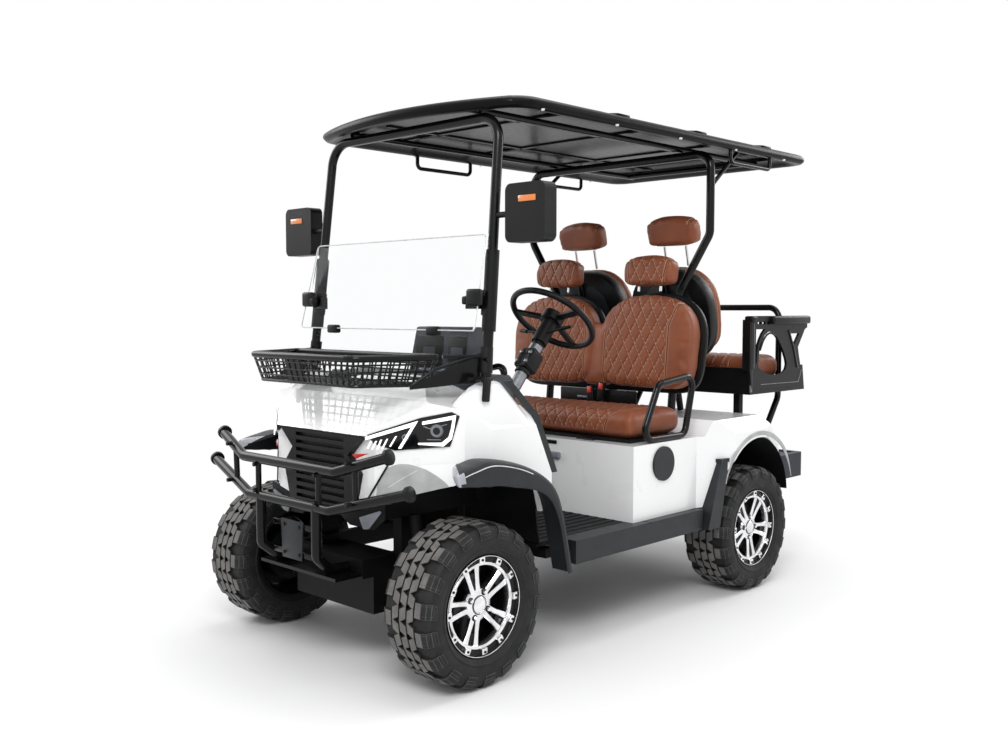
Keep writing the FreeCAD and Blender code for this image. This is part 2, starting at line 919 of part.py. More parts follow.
# Front shocks, and leaf springs that sag from their hangers to the rear axle
def makeSprings():
    leaves = [shockRod(hand, "coilRadius") for side, hand in sides]
    for side, hand in sides:
        centre = f"{hand} * springTrack / 2"
        hangerHigh = "railLow - 3 * springThick / 2 - seatGap"
        low = "tyreRadius - axleTube - seatGap"
        first = point(centre, f"{rearAxle} - springReach", hangerHigh)
        last = point(centre, f"{rearAxle} + springReach", hangerHigh)
        middle = point(centre, rearAxle, low)
        drop = Vector(0, 0, -value("springThick"))
        top = Part.Arc(first, middle, last).toShape()
        bottom = Part.Arc(first + drop, middle + drop, last + drop).toShape()
        ends = [Part.LineSegment(first + drop, first).toShape(), Part.LineSegment(last, last + drop).toShape()]
        leaf = Part.Face(Part.Wire(Part.__sortEdges__([top, bottom] + ends)))
        wide = Vector(value("springWide"), 0, 0)
        leaves.append(leaf.translated(-wide / 2).extrude(wide))
    piece("springs", shaped("springs", Part.Compound(leaves)))


def makeBattery():
    piece("battery_pack", box("battery_pack", ("-batteryHalf", station("batteryFront"), f"{floorTop} + seatGap"),
                              ("2 * batteryHalf", "batteryLong", "batteryHigh")))


def makeFloor():
    piece("floor_pan", box("floor_pan", ("-floorHalf", station("floorFront"), "railLow + railHigh"),
                           ("2 * floorHalf", "fenderFront - floorFront", "floorThick")))
    front = "(firewallFoot + firewallThick + runGap)"
    mat = box("mat_sheet", ("-(floorHalf - runGap)", station(front), f"{floorTop} + seatGap"),
              ("2 * (floorHalf - runGap)", f"matRear - {front}", "matThick - seatGap"))
    ribs = []
    count = int(value("(floorHalf - runGap) / ribPitch"))
    for index in range(-count, count + 1):
        ribs.append(box(f"rib_{index + count}", (f"{index} * ribPitch - ribWide / 2", station(f"{front} + runGap"),
                                                 f"{floorTop} + seatGap"),
                        ("ribWide", f"matRear - {front} - 2 * runGap", "matThick + ribHigh - seatGap")))
    piece("floor_mat", fused("floor_mat", [mat] + ribs))


def makeSills():
    slot = [("sillJoint + sillSlot", sillTop), ("sillJoint + sillSlot", f"{sillTop} - sillSlot"),
            ("sillJoint", f"{sillTop} - sillSlot"), ("sillJoint", sillTop)]
    outline = [("sillFront", "sillLow"), ("rearTrimFoot - seatGap", "sillLow"), ("rearTrimFoot - seatGap", sillTop)]
    outline = [(station(a), b) for a, b in outline + slot + [("sillFront", sillTop)]]
    spans = [(side, sideSpan(hand, "floorHalf + seatGap", "sillOuter")) for side, hand in sides]
    piece("sills", together("sills", [prism(f"sill_{side}", "side", [outline], *span) for side, span in spans]))


# Three outlines of one skin, each drawn in by the wall for the inside
def cowlOutlines(wall):
    side = [
        (station(f"cowlNose + grilleRecess + {wall}"), "noseLow"),
        (station(f"cowlNose + grilleRecess + {wall}"), "grilleTopHigh"),
        (station(f"cowlNose + {wall}"), f"noseTop - {wall} / 2"),
        (station("hoodFront"), f"hoodFrontHigh - {wall}"),
        (station("hoodMiddle"), f"hoodHigh - {wall}"),
        (station("cowlCorner"), f"cowlCornerHigh - {wall}"),
    ]
    if wall == "0":
        side += [(station("openingMiddle"), "openingMiddleHigh"), (station("cowlRear"), "openingLow")]
    else:
        side.append((station("cowlRear"), f"cowlCornerHigh - {wall}"))
    side.append((station("cowlRear"), "noseLow"))
    half = [
        (f"grilleHalf", f"{station('cowlNose')} + {wall}"),
        (f"lampHalf - {wall}", f"{station('lampBack')} + {wall} / 2"),
        (f"cowlHalf - {wall}", station("cowlShoulder")),
        (f"cowlHalf - {wall}", station("cowlRear")),
    ]
    plan = half + [(f"-({a})", b) for a, b in reversed(half)]
    half = [
        (f"cowlHalf - {wall}", "noseLow"),
        (f"cowlHalf - {wall}", f"hoodSideLow"),
        (f"lampHalf - {wall} / 2", f"hoodSideHigh - {wall} / 2"),
        ("hoodCrown", f"hoodHigh - 2 * cowlRound - {wall}"),
        ("archInner / 2", f"cowlCornerHigh - {wall}"),
    ]
    front = half + [(f"-({a})", b) for a, b in reversed(half)]
    return side, plan, front


def makeCowlSolid(name, wall):
    side, plan, front = cowlOutlines(wall)
    parts = [prism(f"{name}_side", "side", [side], "-cowlHalf", "cowlHalf"),
             prism(f"{name}_plan", "top", [plan], "noseLow", "cowlCornerHigh + cowlWall"),
             prism(f"{name}_front", "front", [front], station("cowlNose"), station("cowlRear"))]
    return common(name, parts)


# Headlamp on the slanted corner of the nose, or the hole for it
def makeLamp(name, hand, grow):
    corners = [
        (f"lampTip - {grow}", "lampTipHigh"),
        ("lampBrow", f"lampBrowHigh + {grow}"),
        ("lampCrown", f"lampCrownHigh + {grow}"),
        (f"lampEnd + {grow}", "lampEndHigh"),
        (f"lampRoot + {grow}", f"lampRootHigh - {grow}"),
        ("lampKnee", f"lampKneeHigh - {grow}"),
        (f"lampCheek - {grow}", f"lampCheekHigh - {grow}"),
    ]
    loop = [(f"{hand} * ({a})", b) for a, b in corners]
    body = prism(name, "front", [loop], f"-(lampProud + {grow})", f"lampThick + {grow}")
    turn = math.degrees(math.atan2(value("lampBack - cowlNose"), value("lampHalf - grilleHalf")))
    body.Placement = Placement(Vector(), Rotation(Vector(0, 0, 1), hand * turn))
    bindPlace(body, (f"{hand} * grilleHalf", station("cowlNose"), "0"))
    return body


# White nose, hood and front fenders: a skin over an open inside, cut away round the wheels
def makeCowl():
    skin = makeCowlSolid("cowl_skin", "0")
    hollow = makeCowlSolid("cowl_hollow", "cowlWall")
    arches = []
    line = [("cowlNose - cowlWall", "noseLow - cowlWall"), ("cowlNose - cowlWall", "flareTipHigh - flareThick / 2"),
            ("flareTip", "flareTipHigh - flareThick / 2"), ("flarePeak", "flarePeakHigh - flareThick / 2"),
            ("flareShoulder", "flareShoulderHigh - flareThick / 2"), ("flareHeel", "noseLow - cowlWall")]
    line = [(station(a), b) for a, b in line]
    for side, hand in sides:
        start, end = sideSpan(hand, "archInner", "cowlHalf + cowlWall")
        arches.append(prism(f"arch_{side}", "side", [line], start, end))
    arches.append(box("cabin_mouth", ("-(dashHalf + seatGap)", station("dashFront - seatGap"), "dashLow"),
                      ("2 * (dashHalf + seatGap)", "cowlRear - dashFront + cowlWall", "cowlCornerHigh - dashLow + cowlWall")))
    holes = [makeLamp(f"lamp_hole_{side}", hand, "seatGap") for side, hand in sides]
    holes += [cylinder(f"post_hole_{side}", "z", (f"{hand} * postFootHalf", station("postFoot"), "archTop + cowlRound"),
                       "postTube + runGap", "cowlCornerHigh - archTop") for side, hand in sides]
    piece("front_cowl", cut("front_cowl", skin, fused("cowl_inside", [hollow] + arches + holes)))


# Black grille with slats across both openings
def makeGrille():
    half = [
        ("grilleHalf", "grilleTopHigh"),
        ("grilleWaist", "grilleWaistHigh"),
        ("grilleShoulder", "grilleShoulderHigh"),
        ("grilleFoot", "grilleLow"),
    ]
    loop = half + [(f"-{a}", b) for a, b in reversed(half)]
    end = station("cowlNose + grilleRecess - seatGap")
    body = prism("front_grille", "front", [loop], f"{end} - grilleThick", end)
    slot = [("-slatHalf", "grilleLow + slatPitch / 2"), ("slatHalf", "grilleLow + slatPitch / 2"),
            ("slatHalf", "grilleLow + slatPitch / 2 + slatGap"), ("-slatHalf", "grilleLow + slatPitch / 2 + slatGap")]
    opening = body.newObject("PartDesign::Pocket", "Slot")
    opening.Profile = drawOutline(body, "front", [slot], f"-({end} - grilleThick)")
    opening.setExpression("Length", bound("slatDeep"))
    doc.recompute()
    pattern = body.newObject("PartDesign::LinearPattern", "Slots")
    pattern.Originals = [opening]
    pattern.Direction = (opening.Profile[0], ["V_Axis"])
    pattern.setExpression("Length", bound("grilleTopHigh - grilleLow - slatPitch - slatGap"))
    pattern.setExpression("Occurrences", bound("floor((grilleTopHigh - grilleLow - slatPitch) / slatPitch)"))
    body.Tip = pattern
    return piece("front_grille", body)


# Strip along the rear edge of the cowl's side
def makeCowlTrim(side, hand):
    near = [("cowlCorner", "cowlCornerHigh"), ("openingMiddle", "openingMiddleHigh"), ("cowlRear", "openingLow")]
    loop = [(station(f"{a} + seatGap"), b) for a, b in near]
    loop += [(station(f"{a} + trimWide"), b) for a, b in reversed(near)]
    start, end = sideSpan(hand, "cowlHalf - cowlWall", "cowlHalf + seatGap")
    return prism(f"cowl_trim_{side}", "side", [loop], start, end)


# Dark flare over a front wheel, with the mudguard as its tail
def makeFlare(side, hand):
    line = [("flareTip", "flareTipHigh"), ("flarePeak", "flarePeakHigh"), ("flareShoulder", "flareShoulderHigh"),
            ("flareFoot", "flareFootHigh"), ("flareFoot - flareThick", "flareFootHigh"),
            ("flareShoulder - flareThick", "flareShoulderHigh - flareThick"), ("flarePeak", "flarePeakHigh - flareThick")]
    loop = [(station(a), b) for a, b in line]
    start, end = sideSpan(hand, "cowlHalf + 2 * seatGap", "flareOuter")
    return prism(f"flare_{side}", "side", [loop], start, end)


# Liner of a front wheel's well: a cheek beside the nose and a top under the hood
def makeLiner(side, hand):
    outer = "(cowlHalf - cowlWall - seatGap)"
    inner = "(archInner - cheekGap)"
    front = "(cowlNose + grilleRecess + cowlWall + seatGap)"
    start, end = sideSpan(hand, f"{inner} - cheekThick", inner)
    cheek = box(f"cheek_{side}", (start, station(front), "noseLow"),
                ("cheekThick", f"firewallHead - {front} - cheekThick", "archTop + cheekGap - noseLow"))
    loop = [(f"{inner} - cheekThick", front), ("archInner + cheekGap", f"{front} + cheekThick / 2"),
            ("lampHalf - cowlWall", "lampBack + cheekThick"), (outer, "cowlShoulder + cheekThick"),
            (outer, "firewallHead - cheekThick"), (f"{inner} - cheekThick", "firewallHead - cheekThick")]
    loop = [(f"{hand} * {a}" if a == outer else f"{hand} * ({a})", station(b)) for a, b in loop]
    top = prism(f"liner_top_{side}", "top", [loop], "archTop + cheekGap", "archTop + cheekGap + cheekThick / 2")
    return fused(f"liner_{side}", [cheek, top])


def makeFlares():
    parts = [makeFlare(side, hand) for side, hand in sides] + [makeLiner(side, hand) for side, hand in sides]
    piece("flares", together("flares", parts))


# Black tube guard with two bars, four posts and two legs that turn back under the nose
def makeGuard():
    face = station("guardTube - guardReach")
    wing = station("guardTube - guardReach + guardWingBack")
    lowWing = station("guardTube - guardReach + guardLowWingBack")
    upper = [("-guardWingHalf", wing, "guardWingHigh"), ("-guardBowHalf", face, "guardBowHigh"),
             ("guardBowHalf", face, "guardBowHigh"), ("guardWingHalf", wing, "guardWingHigh")]
    lower = [("-guardLowWingHalf", lowWing, "guardLowWingHigh"), ("-guardLowHalf", face, "guardLowHigh"),
             ("guardLowHalf", face, "guardLowHigh"), ("guardLowWingHalf", lowWing, "guardLowWingHigh")]
    parts = [tube(upper, "guardTube", "guardBend"), tube(lower, "guardTube", "guardBend")]
    for side, hand in sides:
        parts.append(rod((f"{hand} * guardPostHalf", face, "guardLowHigh"),
                         (f"{hand} * guardPostHalf", face, "guardBowHigh"), "guardPost"))
        share = "(guardWingPostHalf - guardBowHalf) / (guardWingHalf - guardBowHalf)"
        lowShare = "(guardWingPostHalf - guardLowHalf) / (guardLowWingHalf - guardLowHalf)"
        top = (f"{hand} * guardWingPostHalf", f"{face} + guardWingBack * {share}",
               f"guardBowHigh + (guardWingHigh - guardBowHigh) * {share}")
        foot = (f"{hand} * guardWingPostHalf", f"{face} + guardLowWingBack * {lowShare}",
                f"guardLowHigh + (guardLowWingHigh - guardLowHigh) * {lowShare}")
        parts.append(rod(foot, top, "guardPost"))
        leg = [(f"{hand} * guardLegHalf", face, "guardLowHigh"),
               (f"{hand} * guardLegHalf", face, "guardLegKneeHigh"),
               (f"{hand} * guardLegFootHalf", f"{face} + guardLegFootBack", "guardLegFootHigh"),
               (f"{hand} * guardLegFootHalf", station("railFront - seatGap"), "guardLegFootHigh")]
        parts.append(tube(leg, "guardTube", "guardBend / 2"))
    skid = Part.makeBox(value("2 * skidHalf"), value("railFront - seatGap - skidFront"), value("skidThick"),
                        point("-skidHalf", station("skidFront"), "guardLegFootHigh - guardTube - skidThick / 2"))
    piece("brush_guard", shaped("brush_guard", joined(parts + [skid])))


def basketLoop(grow, high):
    places = [("-basketFrontHalf", "basketFront", -1, -1), ("basketFrontHalf", "basketFront", 1, -1),
              ("basketBackHalf", "basketBack", 1, 1), ("-basketBackHalf", "basketBack", -1, 1)]
    corners = [point(f"{a} + {u} * ({grow})", station(f"{b} + {v} * ({grow})"), high) for a, b, u, v in places]
    return Part.makePolygon(corners + corners[:1])


# Tapered basket on the hood, open at the top
def makeBasket():
    low = "basketFloorHigh"
    outer = Part.makeLoft([basketLoop("-basketTaper", low), basketLoop("0", "basketRimHigh")], True, True)
    inner = Part.makeLoft([basketLoop("-basketTaper - basketWall", f"{low} + basketWall"),
                           basketLoop("-basketWall", "basketRimHigh + basketWall")], True, True)
    rim = [vertex.Point for vertex in basketLoop("0", "basketRimHigh").OrderedVertexes][:4]
    path = bentPath(rim, value("2 * basketRim"), True)
    first = path.Edges[0]
    start = first.valueAt(first.FirstParameter)
    ring = Part.Wire(Part.makeCircle(value("basketRim"), start, first.tangentAt(first.FirstParameter)))
    tubeRim = path.makePipeShell([ring], True, False)
    piece("front_basket", shaped("front_basket", outer.cut(inner).fuse(tubeRim).removeSplitter()))


# Plates from the posts forward to the basket, beside its back corners
def makeBrackets():
    outer = f"{postPlace('bracketLow')[0]} + postTube + seatGap"
    plates = []
    for side, hand in sides:
        loop = [("bracketFront", "bracketTipHigh"), ("postFoot + postTube", "bracketLow"),
                ("postFoot + postTube", "bracketHigh"), ("postFoot - postTube", "bracketHigh")]
        loop = [(station(a), b) for a, b in loop]
        start, end = sideSpan(hand, outer, f"{outer} + bracketThick")
        plate = prism(f"bracket_plate_{side}", "side", [loop], start, end)
        start, end = sideSpan(hand, "basketBackHalf - bracketReach", f"{outer} + bracketThick / 2")
        bar = box(f"bracket_bar_{side}",
                  (start, station("basketBack + basketRim + seatGap"), "basketRimHigh - bracketBar / 2"),
                  (f"{end} - ({start})", "2 * bracketThick", "bracketBar"))
        plates.append(fused(f"basket_bracket_{side}", [plate, bar]))
    piece("basket_brackets", together("basket_brackets", plates))


# Tube frame inside the nose that carries the roof's front posts
def cowlFrame():
    parts = []
    dip = f"postTube * (postHead - postFoot + postFootHalf - postHeadHalf) / ({hoopLine} - postFootHigh)"
    for side, hand in sides:
        parts.append(tube([(f"{hand} * cowlFrameHalf", station("cowlFrameStation"), "railLow + railHigh / 2"),
                           (f"{hand} * cowlFrameHalf", station("cowlFrameStation"), "cowlFrameHigh"),
                           (f"{hand} * postFootHalf", station("postFoot"), "cowlFrameHigh"),
                           (f"{hand} * postFootHalf", station("postFoot"), f"postFootHigh - seatGap - {dip}")],
                          "cowlFrameTube", "cowlFrameBend"))
    middle = "(railLow + railHigh + cowlFrameHigh) / 2"
    parts.append(rod(("-cowlFrameHalf", station("cowlFrameStation"), middle),
                     ("cowlFrameHalf", station("cowlFrameStation"), middle), "cowlFrameTube"))
    return shaped("cowl_frame", joined(parts))


# Anything drawn along Z turned onto the steering column's line, or with a half turn down it
def onColumn(item, more=0):
    item.Placement = Placement(Vector(), Rotation(Vector(1, 0, 0), more - value("columnTilt")))
    bindPlace(item, ("wheelSide", station("wheelStation"), "wheelHigh"))
    return item


def makeFirewall():
    foot = f"{floorTop} + seatGap"
    loop = [(station("firewallFoot"), foot), (station("firewallFoot + firewallThick"), foot),
            (station("firewallHead + firewallThick"), "dashLow - seatGap"),
            (station("firewallHead"), "dashLow - seatGap")]
    half = "(lampHalf - seatGap)"
    plate = prism("firewall_plate", "side", [loop], f"-{half}", half)
    hole = onColumn(cylinder("column_hole", "z", ("0", "0", "0"), "columnRadius + seatGap", "columnLong"), 180)
    piece("firewall", cut("firewall", plate, hole))


def makeDash():
    loop = [("dashFront", "dashLow + dashLip"), ("dashFront", "dashFrontHigh"), ("dashFront + dashLip", "dashHigh"),
            ("dashRear - dashLip", "dashHigh"), ("dashRear", "dashHigh - dashLip"), ("dashRear", "dashLow"),
            ("firewallHead", "dashLow")]
    loop = [(station(a), b) for a, b in loop]
    shelf = prism("dash_shelf", "side", [loop], "-dashHalf", "dashHalf")
    piece("dashboard", fused("dashboard", [shelf, makeHump()]))


# Raised binnacle on the dash, with a framed recess in its front and rear faces
def makeHump():
    foot = "dashHigh - dashLip / 2"
    front = [("humpCentre - humpHalf", foot), ("humpCentre + humpHalf", foot),
             ("humpCentre + humpHalf - humpTaper", "humpHigh"), ("humpCentre - humpHalf + humpTaper", "humpHigh")]
    side = [(station("humpFront"), foot), (station("humpRear"), foot),
            (station("humpRear - humpTaper / 2"), "humpHigh"), (station("humpFront + humpTaper / 2"), "humpHigh")]
    block = common("hump_block", [prism("hump_front", "front", [front], station("humpFront"), station("humpRear")),
                                  prism("hump_side", "side", [side], "humpCentre - humpHalf", "humpCentre + humpHalf")])
    recess = [("humpCentre - humpHalf + 2 * humpFrame", "dashHigh + humpFrame"),
              ("humpCentre + humpHalf - 2 * humpFrame", "dashHigh + humpFrame"),
              ("humpCentre + humpHalf - 3 * humpFrame", "humpHigh - humpFrame"),
              ("humpCentre - humpHalf + 3 * humpFrame", "humpHigh - humpFrame")]
    tools = [prism("hump_recess_front", "front", [recess], station("humpFront"), station("humpFront + humpTaper")),
             prism("hump_recess_rear", "front", [recess], station("humpRear - humpTaper"), station("humpRear"))]
    return cut("dash_hump", block, fused("hump_recesses", tools))


# Two pedals on arms from the leaning firewall
def makePedals():
    low = f"({floorTop} + seatGap)"
    share = f"(pedalLow + pedalArm - {low}) / (dashLow - seatGap - {low})"
    wall = f"(firewallFoot + firewallThick + seatGap - (firewallFoot - firewallHead) * {share})"
    pads = []
    for index, hand in enumerate((1, -1)):
        middle = f"wheelSide + {hand} * pedalSpread"
        pad = box(f"pedal_pad_{index}", (f"{middle} - pedalWide / 2", station("pedalFoot"), "pedalLow"),
                  ("pedalWide", "pedalThick", "pedalHigh"))
        arm = box(f"pedal_arm_{index}", (f"{middle} - pedalArm", station(wall), "pedalLow + pedalArm"),
                  ("2 * pedalArm", f"pedalFoot + pedalThick / 2 - {wall}", "2 * pedalArm"))
        pads.append(fused(f"pedal_{index}", [pad, arm]))
    piece("pedals", together("pedals", pads))


def makeColumn():
    top = "-(wheelHubThick / 2 + lidGap)"
    parts = [cylinder("column_tube", "z", ("0", "0", f"{top} - columnLong + wheelHubThick"), "columnRadius",
                      "columnLong - wheelHubThick"),
             cylinder("column_shroud", "z", ("0", "0", f"{top} - columnHeadLong"), "columnHead", "columnHeadLong"),
             box("column_clamp", ("-columnClampWide / 2", "-columnClampWide / 2", f"{top} - columnClampAt"),
                 ("columnClampWide", "columnClampWide", "columnClampLong"))]
    piece("steering_column", onColumn(fused("steering_column", parts)))


# Rim, hub and three spokes of the steering wheel
def makeSteeringWheel():
    rim = doc.addObject("Part::Torus", "wheel_rim")
    rim.setExpression("Radius1", bound("wheelRadius"))
    rim.setExpression("Radius2", bound("wheelRim"))
    parts = [rim, cylinder("wheel_hub", "z", ("0", "0", "-wheelHubThick / 2"), "wheelHub", "wheelHubThick")]
    arm = [("-wheelSpoke / 2", "0"), ("wheelSpoke / 2", "0"), ("wheelSpoke / 2", "wheelRadius"),
           ("-wheelSpoke / 2", "wheelRadius")]
    for index, turn in enumerate((0, 105, -105)):
        spoke = prism(f"wheel_spoke_{index}", "top", [arm], "-wheelSpokeThick / 2", "wheelSpokeThick / 2")
        spoke.Placement = Placement(Vector(), Rotation(Vector(0, 0, 1), turn))
        parts.append(spoke)
    piece("steering_wheel", onColumn(fused("steering_wheel", parts)))


# Seat base and rear fenders in one skin, open below, with a battery bay under the seat
def makeRearBody():
    side = [("baseFront", bodyLow), ("fenderRear", bodyLow), ("fenderRear", "tailHigh"),
            ("deckEnd", "deckHigh"), ("deckStart", "deckHigh"), ("deckStart - deckRise", "baseHigh"),
            ("baseFront", "baseHigh")]
    side = [(station(a), b) for a, b in side]
    half = [("baseHalf", "baseFront"), ("baseHalf", "fenderFront"), ("fenderHalf", "fenderFull"),
            ("fenderHalf", "deckEnd"), ("fenderHalf - fenderTaper", "fenderRear")]
    half = [(a, station(b)) for a, b in half]
    plan = half + [(f"-({a})", b) for a, b in reversed(half)]
    half = [("fenderHalf", bodyLow), ("fenderHalf", "fenderEdgeHigh"), ("fenderHalf - deckRise", "deckHigh")]
    front = half + [(f"-({a})", b) for a, b in reversed(half)]
    skin = common("body_skin", [prism("body_side", "side", [side], "-fenderHalf", "fenderHalf"),
                                prism("body_plan", "top", [plan], bodyLow, "deckHigh"),
                                prism("body_front", "front", [front], station("baseFront"), station("fenderRear"))])
    tools = []
    for hand in (1, -1):
        start, end = sideSpan(hand, "archWell", "fenderHalf + wellWall")
        tools.append(cylinder(f"rear_arch_{hand + 1}", "x", (start, rearAxle, "archCentreHigh"),
                              "archRadius", f"{end} - ({start})"))
        tools.append(box(f"rear_arch_foot_{hand + 1}", (start, f"{rearAxle} - archRadius", "sillLow"),
                         (f"{end} - ({start})", "fenderRear - wheelbase + archRadius + baseWall", "archCentreHigh - sillLow")))
    inside = [("baseFront + baseWall", f"{bodyLow} - baseWall"), ("fenderRear - baseWall", f"{bodyLow} - baseWall"),
              ("fenderRear - baseWall", "tailHigh - baseWall"), ("deckEnd - baseWall", "deckHigh - baseWall"),
              ("deckStart + baseWall", "deckHigh - baseWall"), ("deckStart - deckRise + baseWall", "baseHigh - baseWall"),
              ("baseFront + baseWall", "baseHigh - baseWall")]
    inside = [(station(a), b) for a, b in inside]
    tools.append(prism("body_inside", "side", [inside], "-(archWell - wellWall)", "archWell - wellWall"))
    tools.append(box("bay_inside", ("-(baseHalf - baseWall)", station("baseFront + baseWall"), f"{bodyLow} - baseWall"),
                     ("2 * (baseHalf - baseWall)", "fenderFront - baseFront - baseWall", f"baseHigh - {bodyLow}")))
    tools.append(box("bay_mouth", ("-(batteryHalf + 2 * deckRise)", station("batteryFront"), "baseHigh - 2 * baseWall"),
                     ("2 * (batteryHalf + 2 * deckRise)", "batteryLong - deckRise", "3 * baseWall")))
    for side, hand in sides:
        tools.append(cylinder(f"hinge_groove_{side}", "x",
                              (f"{hand} * hingeHalf - hingeLong / 2 - hingeGap", station("cushionFront"),
                               "baseHigh + lidGap"), "hingeRadius + hingeGap", "hingeLong + 2 * hingeGap"))
    piece("rear_body", cut("rear_body", skin, fused("body_cuts", tools)))


def makeSpeaker(side, hand):
    start, end = sideSpan(hand, "baseHalf + seatGap", "baseHalf + seatGap + speakerThick")
    return cylinder(f"speaker_{side}", "x", (start, station("speakerStation"), "speakerHigh"), "speakerRadius",
                    "speakerThick")


# Dark upright trim with a cap, ahead of a rear wheel and shaped to the body behind it
def makeRearTrim(side, hand):
    foot = [("rearTrimFoot", "sillLow"), ("rearTrimHeel", "sillLow"), ("rearTrimTop", "rearTrimTopHigh"),
            ("rearTrimHead", "rearTrimTopHigh")]
    cap = [("rearTrimHead - rearTrimCap / 2", "rearTrimTopHigh - rearTrimCap / 2"),
           ("rearTrimTop", "rearTrimTopHigh - rearTrimCap / 2"), ("rearTrimTop", "rearTrimTopHigh + rearTrimCap / 2"),
           ("rearTrimHead - rearTrimCap / 2", "rearTrimTopHigh + rearTrimCap / 2")]
    parts = []
    for index, (loop, proud) in enumerate(((foot, "0"), (cap, "rearTrimCapProud"))):
        loop = [(station(a), b) for a, b in loop]
        start, end = sideSpan(hand, "baseHalf - baseWall", f"rearTrimOuter + {proud}")
        parts.append(prism(f"rear_trim_{side}_{index}", "side", [loop], start, end))
    taper = [("0", "baseFront"), ("baseHalf + seatGap", "baseFront"), ("baseHalf + seatGap", "fenderFront"),
             ("fenderHalf + seatGap", "fenderFull"), ("0", "fenderFull")]
    taper = [(f"{hand} * ({a})", station(b)) for a, b in taper]
    behind = prism(f"trim_taper_{side}", "top", [taper], f"{bodyLow} - seatGap", "deckHigh")
    return cut(f"rear_trim_{side}", fused(f"trim_blank_{side}", parts), behind)


# Dark trims and speakers on the body's sides
def makeTrims():
    parts = []
    for side, hand in sides:
        parts += [makeCowlTrim(side, hand), makeRearTrim(side, hand), makeSpeaker(side, hand)]
    piece("body_trims", together("body_trims", parts))


def cushionBody(name, corner, lengths, radius):
    loop = [(corner[0], corner[1]), (f"{corner[0]} + {lengths[0]}", corner[1]),
            (f"{corner[0]} + {lengths[0]}", f"{corner[1]} + {lengths[1]}"), (corner[0], f"{corner[1]} + {lengths[1]}")]
    body = prism(name, "top", [loop], corner[2], f"{corner[2]} + {lengths[2]}")
    roundAlong(body, Vector(0, 0, 1), radius)
    roundFaces(body, Vector(0, 0, 1), f"{radius} * edgeShare")
    return body


# Seat bottom with its hinged base board, which lifts from the battery bay
def makeFrontCushion():
    low = "baseHigh + lidGap"
    board = box("seat_board", ("-cushionHalf + cushionRound / 2", station("cushionFront + cushionRound / 2"), low),
                ("2 * cushionHalf - cushionRound", "cushionRear - cushionFront - cushionRound", "cushionBase"))
    parts = [board]
    for side, hand in sides:
        start = f"{hand} * hingeHalf - hingeLong / 2"
        parts.append(cylinder(f"seat_hinge_{side}", "x", (start, station("cushionFront"), low),
                              "hingeRadius", "hingeLong"))
        parts.append(box(f"seat_hinge_leaf_{side}", (start, station("cushionFront"), low),
                         ("hingeLong", "cushionRound", "hingeLeaf")))
    piece("seat_board", fused("seat_board", parts))
    piece("front_seat_cushion", cushionBody(
        "front_seat_cushion", ("-cushionHalf", station("cushionFront"), f"{low} + cushionBase + seatGap"),
        ("2 * cushionHalf", "cushionRear - cushionFront", "cushionHigh"), "cushionRound"))


# Outline of one rounded seat back, in its own plane
def lobeLoop(centre, half, low, high, hand):
    high = f"({high} - ({low}))"
    places = [(-0.72, 0), (0.72, 0), (0.97, 0.2), (1, 0.5), (0.84, 0.82), (0.45, 1), (-0.45, 1), (-0.84, 0.82),
              (-1, 0.5), (-0.97, 0.2)]
    return [(f"{hand} * {centre} + {a} * {half}", f"{low} + {b} * {high}") for a, b in places]


# Pad with rounded lobes, leaned about its bottom edge at the given station
def leanedPad(name, loops, near, far, low, at, lean):
    parts = []
    for index, loop in enumerate(loops):
        loop = [(a, f"{b} - {low}") for a, b in loop]
        parts.append(prism(f"{name}_{index}", "front", [loop], near, far))
    body = fused(name, parts) if len(parts) > 1 else parts[0]
    body.Placement = Placement(Vector(), Rotation(Vector(1, 0, 0), lean))
    bindPlace(body, ("0", station(at), low))
    return body


def makeFrontBacks():
    loops = [lobeLoop("lobeCentre", "lobeHalf", "backBottom", "backTop", hand) for side, hand in sides]
    middleHigh = "backBottom + 3 * (backTop - backBottom) / 4"
    loops.append([("-lobeCentre", "backBottom"), ("lobeCentre", "backBottom"), ("lobeCentre", middleHigh),
                  ("-lobeCentre", middleHigh)])
    lean = -value("backLean")
    piece("front_seat_back", leanedPad("front_seat_back", loops, "0", "backThick", "backBottom", "backStation", lean))
    return leanedPad("front_back_shell", loops, "backThick + seatGap", "backThick + seatGap + shellThick",
                     "backBottom", "backStation", lean)


def makeRearBacks():
    lean = value("rearBackLean")
    pads = []
    shells = []
    for side, hand in sides:
        loop = lobeLoop("rearLobeCentre", "rearLobeHalf", "rearBackBottom", "rearBackTop", hand)
        pads.append(leanedPad(f"rear_back_pad_{side}", [loop], "-rearBackThick", "0", "rearBackBottom",
                              "rearBackStation", lean))
        near = "-(rearBackThick + seatGap + rearShellThick)"
        shells.append(leanedPad(f"rear_back_shell_{side}", [loop], near, "-(rearBackThick + seatGap)",
                                "rearBackBottom", "rearBackStation", lean))
    piece("rear_seat_backs", together("rear_seat_backs", pads))
    return shells


def makeBacks():
    piece("back_shells", together("back_shells", [makeFrontBacks()] + makeRearBacks()))


